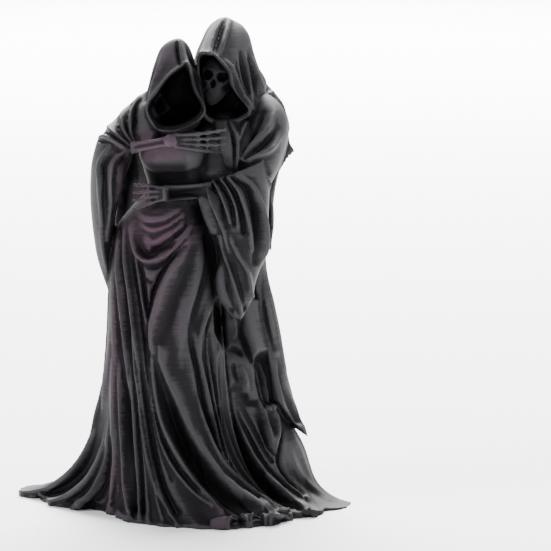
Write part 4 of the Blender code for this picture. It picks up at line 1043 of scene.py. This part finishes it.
# What the resin reads: how far a point stands out of the cloth round it (for painted highlights on crests
# and painted shade in valleys), how warm it is, and how much painted shade darkens it there
def markRelief(mesh, shift):
    count = len(mesh.vertices)
    places, normals = np.empty(count * 3), np.empty(count * 3)
    ends = np.empty(len(mesh.edges) * 2, int)
    mesh.vertices.foreach_get("co", places)
    mesh.vertices.foreach_get("normal", normals)
    mesh.edges.foreach_get("vertices", ends)
    places, normals = places.reshape(-1, 3), normals.reshape(-1, 3)
    first, last = ends.reshape(-1, 2).T
    degree = np.bincount(first, minlength=count) + np.bincount(last, minlength=count)
    even, relief = places, np.zeros(count)
    for step in range(1, finish["broadSpread"] + 1):
        near = [np.bincount(first, even[last, axis], count) + np.bincount(last, even[first, axis], count)
                for axis in range(3)]
        even = np.stack(near, axis=1) / degree[:, None]
        if step in (finish["fineSpread"], finish["broadSpread"]):
            relief = relief * finish["fineShare"] + ((places - even) * normals).sum(axis=1) / unit
    carved = (places - np.array(shift)).T / unit
    across, down = seen(carved)
    warmth = np.zeros(count)
    for left, right, top, bottom, strength in finish["warmPatches"]:
        away = ((across - (left + right) / 2) / (right - left)) ** 2
        away = away + ((down - (top + bottom) / 2) / (bottom - top)) ** 2
        warmth = np.maximum(warmth, strength * np.exp(-4 * away**1.5))
    front = np.clip(0.3 - 2 * normals[:, 1], 0, 1)
    shade = np.ones(count)
    for strength, soft, corners in finish["shade"]:
        shade *= 1 - plateHeight(carved, [(strength, soft, corners)]) * front
    for name, values in (("relief", relief), ("warmth", warmth * front), ("shade", shade)):
        mesh.attributes.new(name, "FLOAT", "POINT").data.foreach_set("value", values)


def makeFigures():
    forms = gatherForms()
    mesh = bpy.data.meshes.new("carvedFigures")
    forms.to_mesh(mesh)
    forms.free()
    print("forms made:", len(mesh.vertices), "points")
    piece = bpy.data.objects.new("carvedFigures", mesh)
    bpy.context.scene.collection.objects.link(piece)
    shaped(piece, "fuse", "REMESH", mode="VOXEL", voxel_size=mould["grain"])
    shaped(piece, "smooth", "SMOOTH", factor=0.5, iterations=mould["smoothing"])
    print("forms fused:", len(piece.data.polygons), "faces")
    hollow = makeHollow(companionHood)
    shaped(piece, "hollow", "BOOLEAN", operation="DIFFERENCE", solver="MANIFOLD", object=hollow)
    bpy.data.objects.remove(hollow)
    print("hood hollowed:", len(piece.data.polygons), "faces")
    share = mould["triangles"] / (2 * len(piece.data.polygons))
    shaped(piece, "thin", "DECIMATE", ratio=min(1, share), use_collapse_triangulate=True)
    shift = standOnFloor(piece)
    piece.data.name = "carvedFigures"
    piece.data.shade_smooth()
    markRelief(piece.data, shift)
    print("figures cut off at the floor:", len(piece.data.polygons), "triangles")
    return piece, shift


# Resin: near black, with a soft sheen and faint layer lines; a painted highlight makes the crests paler and
# painted shade darkens the valleys
finish = {
    # painted shade in the valleys, the resin's own colour between, and a painted highlight on the crests
    "valleyShade": (0.0046, 0.0043, 0.0053, 1),
    "colour": (0.0068, 0.0065, 0.0077, 1),
    "crestHighlight": (0.031, 0.0305, 0.034, 1),
    "warm": (1.5, 0.90, 1.16, 1),  # a tint over the other colours
    "reliefRange": 0.40,  # in units
    "reliefSpan": (-0.4, 1.6),  # where valleys and crests are reached, as shares of that range
    "layerShare": 1.2,  # how much the layers lighten and darken the colour, as a share of it too
    "broadSpread": 24,  # steps along the edges over which the cloth round a point is evened out
    "fineSpread": 4,
    "fineShare": 2.2,  # weight of the fine relief beside the broad one
    "roughness": 0.60,
    "specular": 0.20,
    "sheen": (0.55, 0.55, 0.57, 1),  # tints what it mirrors
    "layerHeight": 0.0008,
    "layerDepth": 0.00006,
    "layerStrength": 0.5,
    "layerDrift": 60,  # how quickly a layer changes along itself, per metre
    "warmPatches": [  # left, right, top, bottom and strength of soft purple-brown patches, in pixels
        (132, 178, 132, 152, 1),
        (138, 180, 150, 161, 0.8),
        (152, 172, 172, 184, 0.7),
        (132, 154, 184, 202, 1),
        (122, 188, 210, 262, 1),
        (140, 180, 255, 345, 0.5),
        (104, 126, 290, 410, 0.6),
        (104, 128, 460, 512, 0.8),
        (196, 232, 508, 528, 0.7),
        (146, 178, 42, 80, 0.4),
        (112, 124, 140, 205, 0.6),
    ],
    "shade": [  # where the picture is dark: (strength, softness of the edge, corners)
        (0.62, 1.2, [(182.5, 66), (193, 77), (196.5, 92), (202, 101), (204, 112), (199, 120.5),
            (185, 128.5), (172, 130.5), (156, 129.5), (147.5, 110), (162, 86)]),
        (0.55, 1.5, [(198, 54.5), (206, 53.5), (213.6, 55.5), (221, 61), (230, 71), (232, 83), (236, 91),
            (242, 99.5), (249, 109), (249, 118), (228, 121), (214, 121), (206, 112), (200, 98), (196, 90),
            (193, 76), (192, 66)]),
        (0.6, 4, [(204, 152), (220, 150), (229, 158), (234, 170), (205, 172), (200, 162)]),
        (0.8, 4, [(121, 158), (136, 152), (141, 168), (143, 181), (131, 184), (129, 206), (121, 226),
            (114, 236), (118, 200)]),
        (0.75, 4, [(141, 163), (186, 163), (190, 182), (168, 186), (150, 186)]),
        (0.8, 2, [(166, 190), (199, 188), (200, 197), (166, 202)]),
        (0.85, 5, [(190, 205), (201, 204), (214, 250), (216, 300), (226, 318), (225, 350), (218, 352),
            (212, 310), (204, 262)]),
        (0.75, 4, [(215, 306), (226, 306), (226, 334), (215, 336)]),
        (0.5, 4, [(255, 366), (257, 357), (262, 354), (266, 358), (268, 372), (271, 388), (275, 401),
            (270, 404), (263, 410), (259, 396), (256, 382)]),
        (0.4, 4, [(240, 394), (246, 394), (249, 399), (256, 400), (256, 407), (246, 407)]),
        (0.5, 6, [(226, 334), (243, 322), (252, 354), (250, 362), (230, 356)]),
        (0.6, 3, [(284, 410), (289, 412), (300, 430), (291, 430)]),
        (0.55, 5, [(205, 420), (222, 405), (240, 450), (262, 480), (286, 500), (266, 502), (234, 476)]),
        (0.5, 5, [(166, 402), (176, 408), (194, 448), (222, 488), (250, 508), (226, 510), (196, 482),
            (178, 450)]),
        (0.8, 2, [(231, 519), (238, 517), (245, 520), (246, 526), (231, 527)]),
        (0.8, 2, [(254, 516), (259, 514), (262, 520), (264, 526), (252, 526)]),
        (0.7, 2, [(273, 519), (284, 520), (292, 523), (273, 525)]),
        (0.6, 12, [(276, 470), (306, 476), (322, 492), (372, 504), (372, 516), (318, 521), (284, 505)]),
    ],
}


def addGroup(name, inputs, output):
    group = bpy.data.node_groups.new(name, "ShaderNodeTree")
    for label, value in inputs.items():
        socket = group.interface.new_socket(label, in_out="INPUT", socket_type="NodeSocketFloat")
        socket.default_value = value
    group.interface.new_socket(output, in_out="OUTPUT", socket_type="NodeSocketFloat")
    return group, group.nodes.new("NodeGroupInput"), group.nodes.new("NodeGroupOutput")


# Layer lines: uneven bands across the height, a layer apart
def layerLines():
    group, given, made = addGroup("layerLines", {"Layer Height": finish["layerHeight"]}, "Height")
    nodes, links = group.nodes, group.links
    place, split = nodes.new("ShaderNodeTexCoord"), nodes.new("ShaderNodeSeparateXYZ")
    layers = nodes.new("ShaderNodeMath")
    layers.operation = "DIVIDE"
    drift = nodes.new("ShaderNodeVectorMath")
    drift.operation = "MULTIPLY"
    drift.inputs[1].default_value = (finish["layerDrift"], finish["layerDrift"], 0)
    joined, noise = nodes.new("ShaderNodeCombineXYZ"), nodes.new("ShaderNodeTexNoise")
    add = nodes.new("ShaderNodeVectorMath")
    noise.inputs["Scale"].default_value = 1
    noise.inputs["Detail"].default_value = 1.5
    links.new(place.outputs["Object"], split.inputs[0])
    links.new(split.outputs["Z"], layers.inputs[0])
    links.new(given.outputs["Layer Height"], layers.inputs[1])
    links.new(layers.outputs[0], joined.inputs["Z"])
    links.new(place.outputs["Object"], drift.inputs[0])
    links.new(drift.outputs[0], add.inputs[0])
    links.new(joined.outputs[0], add.inputs[1])
    links.new(add.outputs[0], noise.inputs["Vector"])
    links.new(noise.outputs["Fac"], made.inputs["Height"])
    return group


def makeResin():
    material = bpy.data.materials.new("resin")
    material.use_nodes = True
    nodes, links = material.node_tree.nodes, material.node_tree.links
    shader = nodes["Principled BSDF"]
    shader.inputs["Roughness"].default_value = finish["roughness"]
    shader.inputs["Specular Tint"].default_value = finish["sheen"]
    relief, warmth = nodes.new("ShaderNodeAttribute"), nodes.new("ShaderNodeAttribute")
    relief.attribute_name, warmth.attribute_name = "relief", "warmth"
    lines = nodes.new("ShaderNodeGroup")
    lines.node_tree = layerLines()
    uneven = nodes.new("ShaderNodeMath")  # the layers also lighten and darken the colour
    uneven.operation = "MULTIPLY_ADD"
    uneven.inputs[1].default_value = finish["reliefRange"] * finish["layerShare"]
    # painted light: the relief picks painted shade for valleys and a painted highlight for crests
    shadeToHighlight = nodes.new("ShaderNodeMapRange")
    low, high = finish["reliefSpan"]
    shadeToHighlight.inputs["From Min"].default_value = finish["reliefRange"] * low
    shadeToHighlight.inputs["From Max"].default_value = finish["reliefRange"] * high
    tones = nodes.new("ShaderNodeValToRGB")
    tones.color_ramp.elements[0].color = finish["valleyShade"]
    tones.color_ramp.elements[1].color = finish["crestHighlight"]
    tones.color_ramp.elements.new(0.5).color = finish["colour"]
    mix = nodes.new("ShaderNodeMix")
    mix.data_type = "RGBA"
    mix.blend_type, mix.clamp_result = "MULTIPLY", False
    mix.inputs["B"].default_value = finish["warm"]
    shade, dark = nodes.new("ShaderNodeAttribute"), nodes.new("ShaderNodeVectorMath")
    shade.attribute_name, dark.operation = "shade", "MULTIPLY"
    gloss = nodes.new("ShaderNodeMath")
    gloss.operation = "MULTIPLY"
    gloss.inputs[1].default_value = finish["specular"]
    bump = nodes.new("ShaderNodeBump")
    bump.inputs["Strength"].default_value = finish["layerStrength"]
    bump.inputs["Distance"].default_value = finish["layerDepth"]
    links.new(lines.outputs["Height"], uneven.inputs[0])
    links.new(relief.outputs["Fac"], uneven.inputs[2])
    links.new(uneven.outputs[0], shadeToHighlight.inputs["Value"])
    links.new(shadeToHighlight.outputs["Result"], tones.inputs["Fac"])
    links.new(tones.outputs["Color"], mix.inputs["A"])
    links.new(warmth.outputs["Fac"], mix.inputs["Factor"])
    links.new(mix.outputs["Result"], dark.inputs[0])
    links.new(shade.outputs["Fac"], dark.inputs[1])
    links.new(dark.outputs[0], shader.inputs["Base Color"])
    links.new(shade.outputs["Fac"], gloss.inputs[0])
    links.new(gloss.outputs[0], shader.inputs["Specular IOR Level"])
    links.new(lines.outputs["Height"], bump.inputs["Height"])
    links.new(bump.outputs["Normal"], shader.inputs["Normal"])
    return material


figures, shift = makeFigures()
figures.data.materials.clear()
figures.data.materials.append(makeResin())
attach(figures, "root")
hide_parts("embracing_figures")
print("figures finished")

# Studio: a pale floor, soft lights and the photograph's camera
studio = {
    "floor": (0.88, 0.88, 0.88, 1),
    "floorSize": 6,  # metres from its middle to its edge
    "floorRoughness": 0.9,
    "world": 0.16,  # strength of the even white light
    "lights": [  # place, what it points at, size, watts
        ((-0.9, -0.45, 0.95), (0, 0, 0.1), 0.3, 15),
        ((0.95, -0.3, 0.8), (0, 0, 0.1), 0.3, 9.5),
        ((0.0, 3.4, 2.6), (0, 3.4, 0), 4.0, 1900),
        ((-0.2, -1.3, 0.5), (0, 0, 0.09), 0.4, 5),
    ],
    "sensor": 36,  # millimetres
}


def makeStudio():
    floor = bmesh.new()
    bmesh.ops.create_grid(floor, x_segments=1, y_segments=1, size=studio["floorSize"])
    mesh = bpy.data.meshes.new("floor")
    floor.to_mesh(mesh)
    floor.free()
    ground = bpy.data.objects.new("floor", mesh)
    bpy.context.scene.collection.objects.link(ground)
    paint = bpy.data.materials.new("floorPaint")
    paint.use_nodes = True
    shader = paint.node_tree.nodes["Principled BSDF"]
    shader.inputs["Base Color"].default_value = studio["floor"]
    shader.inputs["Roughness"].default_value = studio["floorRoughness"]
    mesh.materials.append(paint)
    world = bpy.data.worlds.new("studio")
    bpy.context.scene.world = world
    world.use_nodes = True
    light = world.node_tree.nodes["Background"]
    light.inputs["Color"].default_value = (1, 1, 1, 1)
    light.inputs["Strength"].default_value = studio["world"]
    for number, (place, target, size, power) in enumerate(studio["lights"]):
        data = bpy.data.lights.new(f"softbox{number}", "AREA")
        data.energy, data.size = power, size
        lamp = bpy.data.objects.new(f"softbox{number}", data)
        lamp.location = place
        lamp.rotation_euler = (Vector(target) - Vector(place)).to_track_quat("-Z", "Y").to_euler()
        bpy.context.scene.collection.objects.link(lamp)
    data = bpy.data.cameras.new("camera")
    data.sensor_width = studio["sensor"]
    data.lens = photograph["focal"] / photograph["width"] * studio["sensor"]
    camera = bpy.data.objects.new("camera", data)
    rise = math.radians(photograph["elevation"])
    back = Vector((0, -math.cos(rise), math.sin(rise)))
    camera.location = (Vector(photograph["target"]) + back * photograph["distance"]) * unit + shift
    camera.rotation_euler = (-back).to_track_quat("-Z", "Y").to_euler()
    bpy.context.scene.collection.objects.link(camera)
    bpy.context.scene.camera = camera


makeStudio()
print("studio set")
